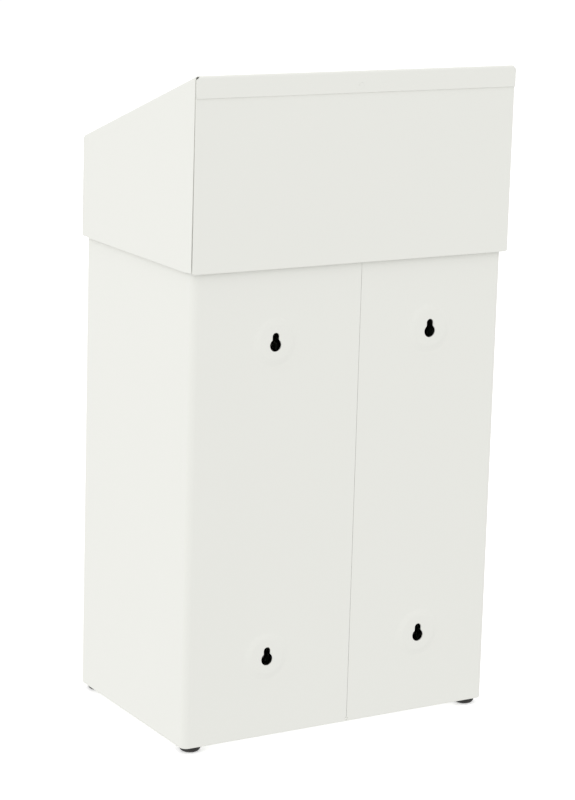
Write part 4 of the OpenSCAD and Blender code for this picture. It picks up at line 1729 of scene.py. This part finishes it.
def round_wire(
    name: str, path: list[Vector], radius: float, sides: int, softened: float = 0.25
) -> bpy.types.Object:
    """Makes a round wire with softened ends along a path.

    Args:
        name: the piece's name.
        path: the wire's middle line, in millimetres.
        radius: the wire's radius.
        sides: how many sides it has.
        softened: the share of the radius that its ends are softened by.

    Returns:
        The piece, in metres.
    """
    last = len(path) - 1
    tangents = [(path[min(i + 1, last)] - path[max(i - 1, 0)]).normalized() for i in range(last + 1)]
    across = tangents[0].orthogonal().normalized()
    soft = radius * softened
    verts: list[Vector] = []
    for i, (point, ahead) in enumerate(zip(path, tangents)):
        across = (across - ahead * across.dot(ahead)).normalized()
        other = ahead.cross(across)
        rings = [(0.0, radius)]
        if i == 0:
            rings = [(0.0, radius - soft), (soft, radius)]
        if i == last:
            rings = [(-soft, radius), (0.0, radius - soft)]
        for shift, reach in rings:
            for k in range(sides):
                angle = 2 * math.pi * k / sides
                out = across * math.cos(angle) + other * math.sin(angle)
                verts.append(point + ahead * shift + out * reach)
    starts = range(0, len(verts), sides)
    faces = [list(reversed(range(sides)))]
    for low, high in zip(starts, starts[1:]):
        for k in range(sides):
            j = (k + 1) % sides
            faces.append([low + k, low + j, high + j, high + k])
    faces.append(list(range(starts[-1], len(verts))))
    return solid(name, verts, faces)


@dataclass
class Studio:
    """A plain white floor, soft light from all round and the camera of the photograph."""

    floor_half: float = 8.0
    floor_colour: tuple[float, float, float, float] = (0.9, 0.9, 0.9, 1.0)
    floor_roughness: float = 0.9
    floor_glow: float = 0.45
    sky: float = 1.026
    lean: Triple = (0.075, -0.045, 0.08)
    backdrop: float = 1.05
    image: tuple[int, int] = (575, 800)
    principal: Point = (287.5, 320.0)
    focal_px: float = 2673.633
    eye: Triple = (1.46775, 2.459379, 1.010801)
    yaw: float = 3.677917
    pitch: float = -0.199971
    roll: float = 0.029171
    sensor: float = 36.0
    clip: Point = (0.1, 100.0)

    def build(self) -> None:
        """Makes the floor, the light and the camera."""
        self._floor()
        self._sky()
        self._camera()

    def _floor(self) -> None:
        """Lays the floor at the feet."""
        half = self.floor_half
        mesh = bpy.data.meshes.new("floor")
        corners = [(-half, -half, 0.0), (half, -half, 0.0), (half, half, 0.0), (-half, half, 0.0)]
        mesh.from_pydata(corners, [], [(0, 1, 2, 3)])
        floor = linked("floor", mesh)
        finish = Shader("floor_sweep").surface(
            Base_Color=self.floor_colour,
            Roughness=self.floor_roughness,
            Emission_Color=WHITE,
            Emission_Strength=self.floor_glow,
        )
        floor.data.materials.append(finish)
        floor.visible_diffuse = False
        floor.visible_glossy = False
        log.info("floor: %.0f m across", 2 * half)

    def _sky(self) -> None:
        """Lights the scene from all round, a little more from one side and from above."""
        world = bpy.data.worlds.new("studio")
        bpy.context.scene.world = world
        world.use_nodes = True
        nodes = Nodes(world.node_tree)
        way = nodes.add("ShaderNodeTexCoord").outputs["Generated"]
        toward = nodes.add("ShaderNodeVectorMath", {"operation": "DOT_PRODUCT"}, {0: way, 1: self.lean})
        level = Value(nodes, toward.outputs["Value"]) + self.sky
        seen = nodes.add("ShaderNodeLightPath").outputs["Is Camera Ray"]
        lit, backdrop = (
            nodes.add("ShaderNodeBackground", {}, {"Color": WHITE, "Strength": strength}).outputs[0]
            for strength in (level, self.backdrop)
        )
        mixed = nodes.add("ShaderNodeMixShader", {}, {0: seen, 1: lit, 2: backdrop})
        nodes.add("ShaderNodeOutputWorld", {}, {"Surface": mixed.outputs[0]})
        log.info("sky: soft light from all round")

    def _camera(self) -> None:
        """Sets the camera where the photograph was taken from."""
        forward = Vector(
            (
                math.sin(self.yaw) * math.cos(self.pitch),
                math.cos(self.yaw) * math.cos(self.pitch),
                math.sin(self.pitch),
            )
        )
        right = forward.cross(Vector((0, 0, 1))).normalized()
        up = right.cross(forward)
        turned_right = math.cos(self.roll) * right + math.sin(self.roll) * up
        turned_up = math.cos(self.roll) * up - math.sin(self.roll) * right
        width, height = self.image
        data = bpy.data.cameras.new("camera")
        data.sensor_width = self.sensor
        data.lens = self.focal_px * self.sensor / height
        data.shift_x = (width / 2 - self.principal[0]) / height
        data.shift_y = (self.principal[1] - height / 2) / height
        data.clip_start, data.clip_end = self.clip
        camera = linked("camera", data)
        turn = Matrix((turned_right, turned_up, -forward)).transposed().to_4x4()
        camera.matrix_world = Matrix.Translation(Vector(self.eye)) @ turn
        bpy.context.scene.camera = camera
        bpy.context.scene.view_settings.view_transform = "Standard"
        log.info("camera: %.0f mm lens", data.lens)


def main() -> None:
    """Builds the looks in order."""
    logging.basicConfig(level=logging.INFO, format="%(message)s")
    materials = {slot: finish.material() for slot, finish in FINISHES.items()}
    Studio().build()
    Body(materials).build()
    BagFrame(materials).build()
    hood = Hood(materials)
    hood.build()
    Flap(materials, hood).build()


if __name__ == "__main__":
    main()
